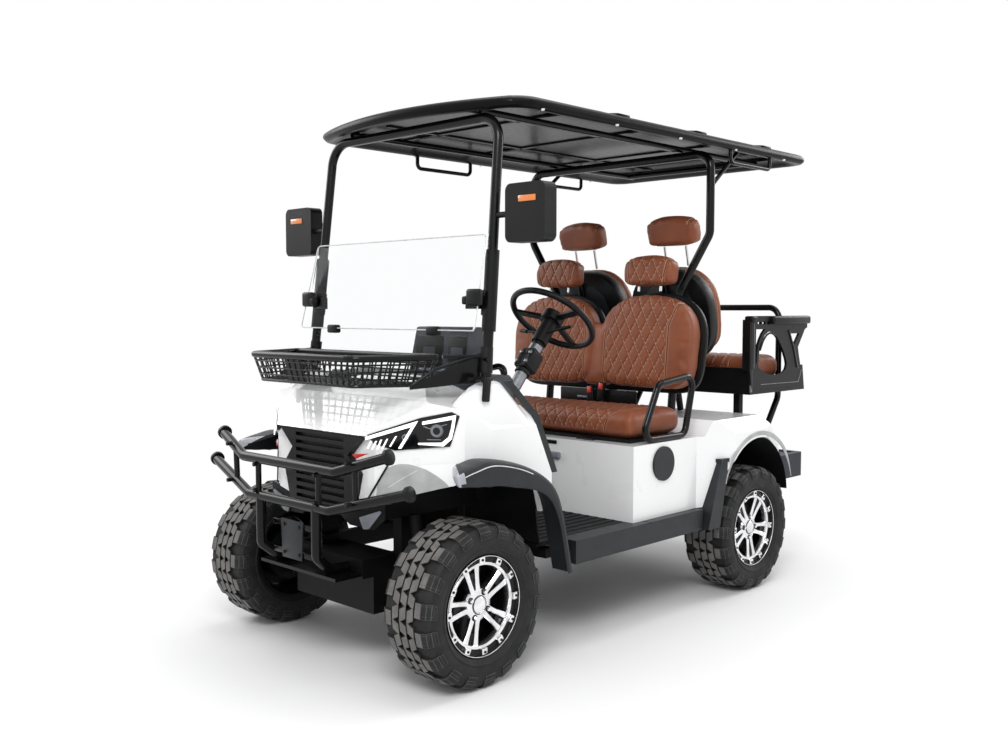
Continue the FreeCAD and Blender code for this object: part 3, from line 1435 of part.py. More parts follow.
# Two headrests of one row and the posts under them
def makeHeadrests(row, at, high, reach, lean):
    turn = Rotation(Vector(1, 0, 0), lean)
    drop = f"(headHigh / 2 + seatGap + {reach})"
    loop = [("-headWide / 2", "-headDeep / 2"), ("headWide / 2", "-headDeep / 2"), ("headWide / 2", "headDeep / 2"),
            ("-headWide / 2", "headDeep / 2")]
    heads = []
    posts = []
    for side, hand in sides:
        head = prism(f"{row}_headrest_{side}", "top", [loop], "-headHigh / 2", "headHigh / 2")
        doc.recompute()
        rounded(head, [f"Edge{index + 1}" for index in range(len(head.Tip.Shape.Edges))], "headRound")
        head.Placement = Placement(Vector(), turn)
        bindPlace(head, (f"{hand} * headHalf", station(at), high))
        heads.append(head)
        for offset in (-1, 1):
            post = cylinder(f"{row}_post_{side}_{offset + 1}", "z", ("0", "0", "0"), "headPost", reach)
            post.Placement = Placement(Vector(), turn)
            bindPlace(post, (f"{hand} * headHalf + {offset} * headPostSpread", f"{station(at)} + {drop} * sin({lean})",
                             f"{high} - {drop} * cos({lean})"))
            posts.append(post)
    return heads, posts


def makeAllHeadrests():
    front = makeHeadrests("front", "headFront", "headFrontHigh", "headFrontPost", -value("backLean"))
    rear = makeHeadrests("rear", "headRear", "headRearHigh", "headRearPost", value("rearBackLean"))
    piece("headrests", together("headrests", front[0] + rear[0]))
    piece("headrest_posts", together("headrest_posts", front[1] + rear[1]))


# Closed loop of tube at each end of the front seat
def makeHipRests():
    foot = "baseHigh + seatGap + restTube"
    loops = []
    for side, hand in sides:
        x = f"{hand} * restHalf"
        loop = [(x, station("restFoot"), foot), (x, station("restKnee"), "restKneeHigh"),
                (x, station("restHead"), "restHeadHigh"), (x, station("restHeel"), foot)]
        loops.append(tube(loop, "restTube", "restBend", True))
    piece("hip_rests", shaped("hip_rests", Part.Compound(loops)))


# Pan that holds the rear cushion, with low ends that dip in the middle
def makeTray():
    loop = [("trayFront", "trayLow"), ("trayRear", "trayLow"), ("trayRear - trayWall", "trayHigh"),
            ("armHeel", "trayHigh"), ("armArchEnd", "trayDipHigh"), ("armArchLeft", "trayDipHigh"),
            ("armArchStart", "trayHigh"), ("trayFront", "trayHigh")]
    loop = [(station(a), b) for a, b in loop]
    block = prism("tray_block", "side", [loop], "-trayHalf", "trayHalf")
    hollow = box("tray_hollow", ("-(trayHalf - trayWall)", station("trayFront + trayWall"), "trayFloorHigh"),
                 ("2 * (trayHalf - trayWall)", "trayRear - trayFront", "trayHigh - trayLow"))
    holes = [cylinder(f"bar_hole_{side}", "z", (f"{hand} * barHalf", station("barStation"), "trayLow - trayWall"),
                      "barTube + lidGap", "trayHigh - trayLow") for side, hand in sides]
    piece("rear_seat_tray", cut("rear_seat_tray", block, fused("tray_cuts", [hollow] + holes)))
    piece("rear_seat_cushion", cushionBody(
        "rear_seat_cushion",
        ("-rearCushionHalf", station("trayFront + trayWall + seatGap"), "trayFloorHigh + seatGap"),
        ("2 * rearCushionHalf", "rearCushionRear - trayFront - trayWall - seatGap", "rearCushionHigh"), "cushionRound"))


# Armrest plate with its arch, its strap and the pad on top
def makeArms():
    outer = [("armFront", "trayHigh"), ("armFront", "armTop"), ("trayRear", "armTop"),
             ("trayRear", "armTop - armPadThick"), ("armHeel + armStrap", "armTop - armPadThick - armPlate"),
             ("armWaist + armStrap", "armWaistHigh"), ("armHeel + armStrap / 2", "trayHigh"), ("armHeel", "trayLow + trayWall"),
             ("armFront + armStrap", "trayLow + trayWall")]
    arch = [("armArchStart", "trayHigh + armPlate"), ("armArchEnd", "trayHigh + armPlate"),
            ("armArchEnd - armPlate", "armArchKneeHigh"), ("armArchRight", "armArchHigh"),
            ("armArchLeft", "armArchHigh"), ("armArchStart + 2 * armPlate", "armArchKneeHigh")]
    strap = [("armFront + armStrap", "trayHigh + armPlate"), ("armArchStart - armPlate", "trayHigh + armPlate"),
             ("armArchStart + armPlate", "armArchKneeHigh"), ("armArchLeft - armStrap", "armArchHigh"),
             ("armFront + armStrap", "armArchHigh")]
    loops = [[(station(a), b) for a, b in loop] for loop in (outer, arch, strap)]
    arms = []
    for side, hand in sides:
        start, end = sideSpan(hand, "trayHalf + seatGap", "trayHalf + seatGap + armPlate")
        plate = prism(f"arm_plate_{side}", "side", loops, start, end)
        start, end = sideSpan(hand, "trayHalf + armPlate / 2 - armPadWide / 2", "trayHalf + armPlate / 2 + armPadWide / 2")
        pad = box(f"arm_pad_{side}", (start, station("armFront"), "armTop - armPadThick"),
                  ("armPadWide", "trayRear - armFront", "armPadThick"))
        arms.append(fused(f"rear_arm_{side}", [plate, pad]))
    piece("rear_arms", together("rear_arms", arms))


# Posts and cross member that carry the rear seat on the rails
def rearSeatFrame():
    base = "(railLow + railHigh / 2)"
    front = station("rearPostStation - rearPostSide / 2")
    parts = [box("rear_frame_cross", ("-(rearPostHalf + rearPostSide / 2)", front, base),
                 ("2 * rearPostHalf + rearPostSide", "rearPostSide", "rearPostSide + railHigh / 2"))]
    for side, hand in sides:
        parts.append(box(f"rear_post_{side}", (f"{hand} * rearPostHalf - rearPostSide / 2", front, base),
                         ("rearPostSide", "rearPostSide", f"trayLow - seatGap - {base}")))
    return parts


# Safety bar beyond the rear cushion, its feet on the step
def makeRearBar():
    corners = []
    for hand in (1, -1):
        leg = [(f"{hand} * barHalf", station("barFoot"), "stepHigh + seatGap"),
               (f"{hand} * barHalf", station("barFoot"), "stepHigh + barBend"),
               (f"{hand} * barHalf", station("barStation"), "barKneeHigh"),
               (f"{hand} * barHalf", station("barStation"), "barHigh")]
        corners += leg if hand > 0 else leg[::-1]
    piece("rear_safety_bar", shaped("rear_safety_bar", tube(corners, "barTube", "barBend")))


# Step behind the rear wheels with a recessed pad, on two brackets
def makeStep():
    loop = [("-stepHalf", "stepFront"), ("stepHalf", "stepFront"), ("stepHalf", "stepRear"), ("-stepHalf", "stepRear")]
    loop = [(a, station(b)) for a, b in loop]
    body = prism("step_block", "top", [loop], "stepLow", "stepHigh")
    roundAlong(body, Vector(0, 0, 1), "stepRound")
    pad = box("step_recess", ("-(stepHalf - 2 * stepFlare)", station("barFoot + 2 * barTube"), "stepHigh - stepPadDeep"),
              ("2 * (stepHalf - 2 * stepFlare)", "stepRear - barFoot - 2 * barTube - 2 * stepFlare", "2 * stepPadDeep"))
    parts = [cut("step_top", body, pad)]
    for side, hand in sides:
        start, end = sideSpan(hand, "railInner", "railInner + railWide")
        parts.append(box(f"step_bracket_{side}", (start, station("stepFront"), "railLow + railHigh + seatGap"),
                         ("railWide", "railRear - stepFront", "stepLow - railLow - railHigh")))
    piece("rear_step", fused("rear_step", parts))


def makeTailLamps():
    lamps = []
    for side, hand in sides:
        start, end = sideSpan(hand, "fenderHalf - fenderTaper - tailLampWide - stepFlare",
                              "fenderHalf - fenderTaper - stepFlare")
        lamps.append(box(f"tail_lamp_{side}", (start, station("fenderRear + seatGap"), "tailHigh - tailLampHigh - stepPadDeep"),
                         ("tailLampWide", "tailLampThick", "tailLampHigh")))
    piece("tail_lamps", together("tail_lamps", lamps))


roofInside = "(roofEdge - roofSkin)"
railLine = f"({roofInside} - seatGap - roofRailTube)"
hoopLine = f"({railLine} - roofRailTube - seatGap - postTube)"


# Roof panel with a bowed front edge, a crown, three raised ribs and a recess below
def makeRoof():
    half = [("roofHalf", "roofRear - roofCorner / 2"), ("roofHalf", "roofFront + roofCorner"),
            ("roofHalf - roofCorner / 3", "roofFront"), ("roofHalf - roofCorner", "roofFront - roofCorner / 2"),
            ("roofHalf / 2", "roofBow + roofCorner / 6")]
    plan = [("roofHalf - roofCorner / 2", "roofRear")] + half
    plan = [(a, station(b)) for a, b in plan]
    plan += [(f"-({a})", b) for a, b in reversed(plan)]
    nose = [("0", station("roofBow"))]
    plan = plan[:6] + nose + plan[6:]
    top = [("roofHalf", "roofEdge - roofSkin"), ("roofHalf - roofShoulder / 6", "roofEdge"),
           ("roofHalf - roofShoulder", "roofShoulderHigh"), ("roofRibHalf / 2", "roofCrown")]
    lower = [("-roofHalf", "roofLow"), ("roofHalf", "roofLow")]
    mirror = [(f"-({a})", b) for a, b in reversed(top)]
    panel = common("roof_panel", [prism("roof_plan", "top", [plan], "roofLow", "roofCrown"),
                                  prism("roof_section", "front", [lower + top + mirror], station("roofBow"),
                                        station("roofRear"))])
    recess = box("roof_recess", ("-(roofHalf - roofRim)", station("roofFront + roofRim / 2"), "roofLow - roofRim"),
                 ("2 * (roofHalf - roofRim)", "roofRear - roofFront - 3 * roofRim / 2", f"{roofInside} - roofLow + roofRim"))
    rib = [("-roofRibHalf", "roofEdge"), ("roofRibHalf", "roofEdge"), ("roofRibHalf", "roofShoulderHigh + roofRibHigh"),
           ("roofRibHalf / 2", "roofCrown + roofRibHigh"), ("-roofRibHalf / 2", "roofCrown + roofRibHigh"),
           ("-roofRibHalf", "roofShoulderHigh + roofRibHigh")]
    ribs = []
    for index in range(3):
        start = station(f"roofRibFirst + {index} * roofRibPitch")
        ribs.append(prism(f"roof_rib_{index}", "front", [rib], start, f"{start} + roofRibLong"))
    piece("roof", cut("roof", fused("roof_top", [panel] + ribs), recess))


def postPlace(high):
    share = f"(({high} - postFootHigh) / ({hoopLine} - postFootHigh))"
    return (f"(postFootHalf + (postHeadHalf - postFootHalf) * {share})",
            f"(postFoot + (postHead - postFoot) * {share})")


# Sleeve round a front post with the clip behind the folded pane
def postSleeve(hand):
    ends = [(postPlace(high), high) for high in ("sleeveLow", "sleeveHigh")]
    ends = [(f"{hand} * {place[0]}", station(place[1]), high) for place, high in ends]
    sleeve = rod(ends[0], ends[1], "sleeveRadius")
    share = "((clipLevelHigh + clipHigh / 2 - paneLow) / (paneHigh - paneLow))"
    near = f"(paneLowStation + (paneHighStation - paneLowStation) * {share} + paneThick + seatGap)"
    middle = postPlace("clipLevelHigh")[0]
    start, end = sideSpan(hand, f"{middle} - sleeveRadius - clipWide", f"{middle} - postTube")
    clip = Part.makeBox(value(f"{end} - ({start})"), value("clipThick"), value("clipHigh"),
                        point(start, station(near), "clipLevelHigh - clipHigh / 2"))
    return [sleeve, clip]


# Front posts and their cross bar bent from one tube, with sleeves and pane clips
def makeFrontPosts():
    corners = []
    clips = []
    for hand in (1, -1):
        leg = [(f"{hand} * postFootHalf", station("postFoot"), "postFootHigh"),
               (f"{hand} * postHeadHalf", station("postHead"), hoopLine)]
        corners += leg if hand > 0 else leg[::-1]
        clips += postSleeve(hand)
    piece("front_posts", shaped("front_posts", joined([tube(corners, "postTube", "hoopBend")] + clips)))


# Rear struts behind the front seat with their braces, and the uprights behind the rear backs
def makeRearStruts():
    slope = "tan(backLean)"
    behind = "(backStation + (backThick + shellThick + 2 * seatGap + postTube) / cos(backLean))"
    low = f"({behind} + (deckHigh + seatGap - backBottom) * {slope})"
    high = f"({behind} + (strutBackHigh - backBottom) * {slope})"
    corners = []
    more = []
    ahead = "(rearBackThick + rearShellThick + 2 * seatGap + rearFrameTube) / cos(rearBackLean)"
    front = f"(rearBackStation - {ahead})"
    foot = "deckHigh + seatGap + rearFrameTube * sin(rearBackLean)"
    for hand in (1, -1):
        leg = [(f"{hand} * strutBackHalf", station(low), "deckHigh + seatGap + postTube * sin(backLean)"),
               (f"{hand} * strutBackHalf", station(high), "strutBackHigh"),
               (f"{hand} * strutHalf", station("strutStation"), "strutKneeHigh"),
               (f"{hand} * strutHalf", station("strutStation"), hoopLine)]
        corners += leg if hand > 0 else leg[::-1]
        brace = rod((f"{hand} * strutHalf", station("strutStation"), f"{hoopLine} - braceDrop"),
                    (f"{hand} * strutHalf", station("strutStation + braceReach"), f"{roofInside} - seatGap - braceTube"),
                    "braceTube")
        upright = [(f"{hand} * rearFrameHalf", station(f"{front} - ({z} - rearBackBottom) * tan(rearBackLean)"), z)
                   for z in (foot, "rearFrameHigh")]
        more += [brace, rod(upright[0], upright[1], "rearFrameTube")]
    shapes = joined([tube(corners, "postTube", "strutBend"), more[0], more[2]])
    piece("rear_struts", shaped("rear_struts", Part.Compound([shapes, more[1], more[3]])))


# Rails under the roof, and the handles that hang from its rim
def makeRoofRails():
    rails = []
    rear = station("roofRailRear - roofRim")
    for side, hand in sides:
        x = f"{hand} * roofRailHalf"
        rails.append(rod((x, station("roofFront + roofRim / 2 + seatGap"), railLine), (x, station("roofRailRear"), railLine),
                         "roofRailTube"))
    rails.append(rod(("-roofRailHalf", rear, railLine), ("roofRailHalf", rear, railLine), "roofRailTube"))
    handles = []
    top = "roofLow - seatGap"
    for hand, at in ((-1, "handleFrontAt"), (-1, "handleRearAt"), (1, "handleRearAt")):
        x = f"{hand} * (roofHalf - roofRim / 2)"
        path = [(x, station(at), top), (x, station(at), f"{top} - handleDrop"),
                (x, station(f"{at} + handleLong"), f"{top} - handleDrop"), (x, station(f"{at} + handleLong"), top)]
        handles.append(tube(path, "handleTube", "handleBend"))
    piece("roof_rails", shaped("roof_rails", Part.Compound([joined(rails)] + handles)))


# Upper pane folded down in front of the posts, lower pane between them
def makeWindscreen():
    loop = [("paneLowStation", "paneLow"), ("paneLowStation + paneThick", "paneLow"),
            ("paneHighStation + paneThick", "paneHigh"), ("paneHighStation", "paneHigh")]
    loop = [(station(a), b) for a, b in loop]
    upper = prism("windscreen_upper", "side", [loop], "-paneHalf", "paneHalf")
    half = [("lowerPaneFootHalf", "lowerPaneLow"), ("lowerPaneHeadHalf", "paneLow - paneThick")]
    loop = half + [(f"-{a}", b) for a, b in reversed(half)]
    lower = prism("windscreen_lower", "front", [loop], station("lowerPaneStation"),
                  station("lowerPaneStation + paneThick"))
    piece("windscreen", together("windscreen", [upper, lower]))


def makeMirrors():
    mirrors = []
    for side, hand in sides:
        start, end = sideSpan(hand, "mirrorHalf - mirrorWide / 2", "mirrorHalf + mirrorWide / 2")
        low = "mirrorMiddleHigh - mirrorHigh / 2"
        high = "mirrorMiddleHigh + mirrorHigh / 2"
        shell = prism(f"mirror_shell_{side}", "front", [[(start, low), (end, low), (end, high), (start, high)]],
                      station("mirrorStation - mirrorDeep / 2"), station("mirrorStation + mirrorDeep / 2"))
        roundAlong(shell, Vector(0, 1, 0), "mirrorRound")
        post = postPlace("mirrorMiddleHigh")
        start, end = sideSpan(hand, f"{post[0]} + postTube + seatGap", "mirrorHalf")
        arm = cylinder(f"mirror_arm_{side}", "x", (start, station(post[1]), "mirrorMiddleHigh"), "mirrorArm",
                       f"{end} - ({start})")
        mirrors.append(fused(f"mirror_{side}", [shell, arm]))
    piece("mirrors", together("mirrors", mirrors))


makeWheels()
for side, hand in sides:
    makeKnuckle(side, hand)
makeTrackRod()
makeChassis()
makeFrontArms()
makeRearAxle()
makeSprings()
makeBattery()
makeFloor()
makeSills()
makeCowl()
piece("headlamps", together("headlamps", [makeLamp(f"headlamp_{side}", hand, "0") for side, hand in sides]))
makeGrille()
makeTrims()
makeFlares()
makeGuard()
makeBasket()
makeBrackets()
makeFirewall()
makeDash()
makePedals()
makeColumn()
makeSteeringWheel()
makeRearBody()
makeFrontCushion()
makeBacks()
makeAllHeadrests()
makeHipRests()
makeTray()
makeArms()
makeRearBar()
makeStep()
makeTailLamps()
makeRoof()
makeFrontPosts()
makeRearStruts()
makeRoofRails()
makeWindscreen()
makeMirrors()
doc.recompute()

for item in doc.Objects:
    if "Invalid" in item.State or "Error" in item.State:
        raise RuntimeError(f"{item.Name} failed: {item.State}")
for name, item in pieces.items():
    if item.Shape.isNull() or not item.Shape.isValid():
        raise RuntimeError(f"{name} has no valid shape")
for name, item in pieces.items():
    item.Shape.exportStep(f"parts/{name}.step")
    print(name, len(item.Shape.Solids), round(item.Shape.Volume))
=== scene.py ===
import math
import bmesh
import bpy
from mathutils import Matrix, Vector


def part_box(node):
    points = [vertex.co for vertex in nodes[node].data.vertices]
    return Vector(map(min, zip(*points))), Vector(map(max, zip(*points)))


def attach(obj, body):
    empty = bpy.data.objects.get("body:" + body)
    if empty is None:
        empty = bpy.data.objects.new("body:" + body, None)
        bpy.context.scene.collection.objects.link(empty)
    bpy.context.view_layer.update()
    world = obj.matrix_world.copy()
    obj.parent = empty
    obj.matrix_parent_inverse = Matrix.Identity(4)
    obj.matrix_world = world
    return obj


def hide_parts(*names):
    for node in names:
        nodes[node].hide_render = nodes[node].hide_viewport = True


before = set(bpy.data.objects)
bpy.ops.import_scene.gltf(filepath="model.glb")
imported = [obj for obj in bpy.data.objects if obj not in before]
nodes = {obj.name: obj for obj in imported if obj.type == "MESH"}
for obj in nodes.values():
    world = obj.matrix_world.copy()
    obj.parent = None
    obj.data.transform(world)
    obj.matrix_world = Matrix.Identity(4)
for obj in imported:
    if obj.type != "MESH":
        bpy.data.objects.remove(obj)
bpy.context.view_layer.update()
frontAxle = -1.084
rearAxle = 0.716
wheelOut = 0.565
bothSides = ((1, "left"), (-1, "right"))
print("frame loaded,", len(nodes), "nodes")


def addItem(name, data):
    item = bpy.data.objects.new(name, data)
    bpy.context.collection.objects.link(item)
    return item


def takeMesh(name, shape):
    mesh = bpy.data.meshes.new(name)
    shape.to_mesh(mesh)
    shape.free()
    return mesh


# camera and lights
shot = {"place": (3.152, -3.562, 1.317), "turn": 44.02, "dip": 3.78, "lens": 36.73}
lens = bpy.data.cameras.new("shotCamera")
lens.lens = shot["lens"]
shotCamera = addItem("shotCamera", lens)
shotCamera.location = shot["place"]
shotCamera.rotation_euler = (math.radians(90 - shot["dip"]), 0, math.radians(shot["turn"]))
scene = bpy.context.scene
scene.camera = shotCamera
scene.view_settings.view_transform = "Standard"

lampSet = {
    "keyBox": {"place": (3.4, -4.2, 4.6), "size": (2.6, 2.0), "watts": 190},
    "sideBox": {"place": (-4.2, -2.0, 3.4), "size": (2.4, 2.4), "watts": 70},
    "topBox": {"place": (0.3, 0.4, 5.2), "size": (3.0, 4.0), "watts": 120},
    "backBox": {"place": (1.5, 4.6, 3.2), "size": (3.0, 1.6), "watts": 70},
}
lampAim = Vector((0, 0, 0.8))
for lampName, look in lampSet.items():
    lamp = bpy.data.lights.new(lampName, "AREA")
    lamp.shape = "RECTANGLE"
    lamp.size, lamp.size_y = look["size"]
    lamp.energy = look["watts"]
    lampItem = addItem(lampName, lamp)
    lampItem.location = look["place"]
    lampItem.rotation_euler = (lampAim - Vector(look["place"])).to_track_quat("-Z", "Y").to_euler()


# small tools for the node finishes
def addNode(tree, kind, links=None, settings=None, **sockets):
    node = tree.nodes.new(kind)
    for key, amount in (settings or {}).items():
        setattr(node, key, amount)
    for key, amount in sockets.items():
        node.inputs[key.replace("_", " ")].default_value = amount
    for key, source in (links or {}).items():
        tree.links.new(source, node.inputs[key])
    return node


def newFinish(name, colour, roughness, more=None):
    finish = bpy.data.materials.new(name)
    finish.use_nodes = True
    shader = finish.node_tree.nodes["Principled BSDF"]
    shader.inputs["Base Color"].default_value = (*colour, 1)
    shader.inputs["Roughness"].default_value = roughness
    for socket, amount in (more or {}).items():
        shader.inputs[socket].default_value = amount
    return finish


def shaderOf(finish):
    return finish.node_tree.nodes["Principled BSDF"]


def patternPlace(finish, stretch=(1, 1, 1)):
    tree = finish.node_tree
    where = addNode(tree, "ShaderNodeTexCoord")
    turn = addNode(tree, "ShaderNodeMapping", {"Vector": where.outputs["Object"]})
    turn.inputs["Scale"].default_value = stretch
    return turn.outputs["Vector"]


def noiseOf(finish, scale, detail=3, stretch=(1, 1, 1)):
    where = patternPlace(finish, stretch)
    return addNode(finish.node_tree, "ShaderNodeTexNoise", {"Vector": where}, Scale=scale,
                   Detail=detail).outputs["Fac"]


def attributeOf(finish, name):
    return addNode(finish.node_tree, "ShaderNodeAttribute", None, {"attribute_name": name}).outputs["Fac"]


def cellsOf(finish, scale):
    where = patternPlace(finish)
    return addNode(finish.node_tree, "ShaderNodeTexVoronoi", {"Vector": where}, Scale=scale).outputs["Distance"]


def addBump(finish, height, distance):
    tree = finish.node_tree
    normal = shaderOf(finish).inputs["Normal"]
    earlier = {"Height": height}
    if normal.links:
        earlier["Normal"] = normal.links[0].from_socket
    bump = addNode(tree, "ShaderNodeBump", earlier, Distance=distance, Strength=1.0)
    tree.links.new(bump.outputs["Normal"], normal)


def addBlend(finish, share, other, low=0.35, high=0.65):
    tree = finish.node_tree
    base = shaderOf(finish).inputs["Base Color"]
    span = addNode(tree, "ShaderNodeMapRange", {"Value": share}, From_Min=low, From_Max=high)
    mix = addNode(tree, "ShaderNodeMix", {"Factor": span.outputs["Result"]}, {"data_type": "RGBA"})
    if base.links:
        tree.links.new(base.links[0].from_socket, mix.inputs[6])
    else:
        mix.inputs[6].default_value = base.default_value
    mix.inputs[7].default_value = (*other, 1)
    tree.links.new(mix.outputs[2], base)


def addRoughness(finish, share, low, high):
    span = addNode(finish.node_tree, "ShaderNodeMapRange", {"Value": share}, To_Min=low, To_Max=high)
    finish.node_tree.links.new(span.outputs["Result"], shaderOf(finish).inputs["Roughness"])


def mathNode(finish, kind, first, second=None):
    node = addNode(finish.node_tree, "ShaderNodeMath", None, {"operation": kind})
    for index, part in enumerate((first, second)):
        if part is None:
            continue
        if isinstance(part, (int, float)):
            node.inputs[index].default_value = part
        else:
            finish.node_tree.links.new(part, node.inputs[index])
    return node.outputs[0]


# finishes: colour, roughness, grain
def paintFinish():
    finish = newFinish("bodyPaint", (0.885, 0.888, 0.892), 0.3, {"Coat Weight": 1.0, "Coat Roughness": 0.05})
    addBlend(finish, noiseOf(finish, 3.0), (0.865, 0.868, 0.875), 0.3, 0.7)
    addBump(finish, noiseOf(finish, 240, 2), 0.00006)
    addRoughness(finish, noiseOf(finish, 8), 0.22, 0.36)
    return finish


def plasticFinish(name, colour, roughness, grain=900, depth=0.00012, gloss=0.0, shine=0.22):
    sockets = {"Coat Weight": gloss, "Coat Roughness": 0.12, "Specular IOR Level": shine}
    finish = newFinish(name, colour, roughness, sockets)
    addBlend(finish, noiseOf(finish, 14, 5), [c * 0.72 for c in colour], 0.35, 0.7)
    addBump(finish, cellsOf(finish, grain), depth)
    addRoughness(finish, noiseOf(finish, 45, 4), roughness - 0.06, roughness + 0.08)
    return finish


def metalFinish(name, colour, roughness, metal=1.0, gloss=0.0, stretch=(1, 1, 1), scale=300, shine=0.5):
    sockets = {"Metallic": metal, "Coat Weight": gloss, "Coat Roughness": 0.05, "Specular IOR Level": shine}
    finish = newFinish(name, colour, roughness, sockets)
    addBlend(finish, noiseOf(finish, 20, 4), [c * 0.8 for c in colour], 0.4, 0.7)
    addBump(finish, noiseOf(finish, scale, 3, stretch), 0.00003)
    addRoughness(finish, noiseOf(finish, 60, 4), max(roughness - 0.05, 0.02), roughness + 0.07)
    return finish


def rubberFinish(name, colour, other, shine):
    finish = newFinish(name, colour, 0.62, {"Specular IOR Level": shine})
    addBlend(finish, noiseOf(finish, 22, 6), other, 0.42, 0.72)
    addBump(finish, noiseOf(finish, 420, 4), 0.00035)
    addBump(finish, noiseOf(finish, 60, 3), 0.0006)
    addRoughness(finish, noiseOf(finish, 30, 5), 0.5, 0.78)
    return finish


quiltCell = {"width": 0.060, "height": 0.108, "thread": 0.0011, "stitch": 0.009}


def leatherFinish(name, quilted):
    finish = newFinish(name, (0.245, 0.069, 0.025), 0.4, {"Specular IOR Level": 0.35, "Sheen Weight": 0.04})
    addBlend(finish, noiseOf(finish, 7, 6), (0.185, 0.048, 0.020), 0.35, 0.72)
    tree = finish.node_tree
    # painted shade: the leather turns dark brown in the pressed diamonds and along the seams
    addBlend(finish, attributeOf(finish, "groove"), (0.060, 0.015, 0.007), 0.1, 1.25)
    addBump(finish, cellsOf(finish, 620), 0.00022)
    addBump(finish, noiseOf(finish, 90, 5), 0.0007)
    addRoughness(finish, noiseOf(finish, 50, 5), 0.34, 0.54)
    beside = mathNode(finish, "SUBTRACT", attributeOf(finish, "seam"), 0.005)
    line = mathNode(finish, "LESS_THAN", mathNode(finish, "ABSOLUTE", beside), 0.0009)
    addBlend(finish, line, (0.50, 0.24, 0.13), 0.0, 1.0)
    if quilted:
        wide, high = quiltCell["width"], quiltCell["height"]
        where = addNode(tree, "ShaderNodeSeparateXYZ", {"Vector": addNode(tree, "ShaderNodeTexCoord").outputs["UV"]})
        across = mathNode(finish, "DIVIDE", where.outputs["X"], wide)
        along = mathNode(finish, "DIVIDE", where.outputs["Y"], high)
        first = mathNode(finish, "ADD", across, along)
        second = mathNode(finish, "SUBTRACT", across, along)
        scale = math.hypot(1 / wide, 1 / high)
        mask = mathNode(finish, "GREATER_THAN", attributeOf(finish, "quilted"), 0.5)
        dash = scale / quiltCell["stitch"] / scale ** 2 * 0.5
        threads = []
        for line, way in ((first, second), (second, first)):
            near = mathNode(finish, "LESS_THAN", mathNode(finish, "PINGPONG", line, 0.5), quiltCell["thread"] * scale)
            beat = mathNode(finish, "PINGPONG", mathNode(finish, "MULTIPLY", way, dash), 0.5)
            threads.append(mathNode(finish, "MULTIPLY", near, mathNode(finish, "GREATER_THAN", beat, 0.14)))
        thread = mathNode(finish, "MULTIPLY", mathNode(finish, "MAXIMUM", *threads), mask)
        addBlend(finish, thread, (0.60, 0.30, 0.17), 0.0, 1.0)
    return finish


def glassFinish():
    finish = newFinish("clearPane", (0.97, 0.985, 0.99), 0.02, {"Transmission Weight": 1.0, "IOR": 1.12})
    addBump(finish, noiseOf(finish, 4, 1), 0.0002)
    addRoughness(finish, noiseOf(finish, 3, 3), 0.0, 0.03)
    return finish


def lightFinish(name, colour, glow, strength):
    finish = newFinish(name, colour, 0.3, {"Emission Strength": strength, "Coat Weight": 1.0, "Coat Roughness": 0.04})
    shaderOf(finish).inputs["Emission Color"].default_value = (*glow, 1)
    addBlend(finish, noiseOf(finish, 120, 2), [c * 0.85 for c in colour], 0.3, 0.7)
    addBump(finish, cellsOf(finish, 260), 0.0002)
    return finish


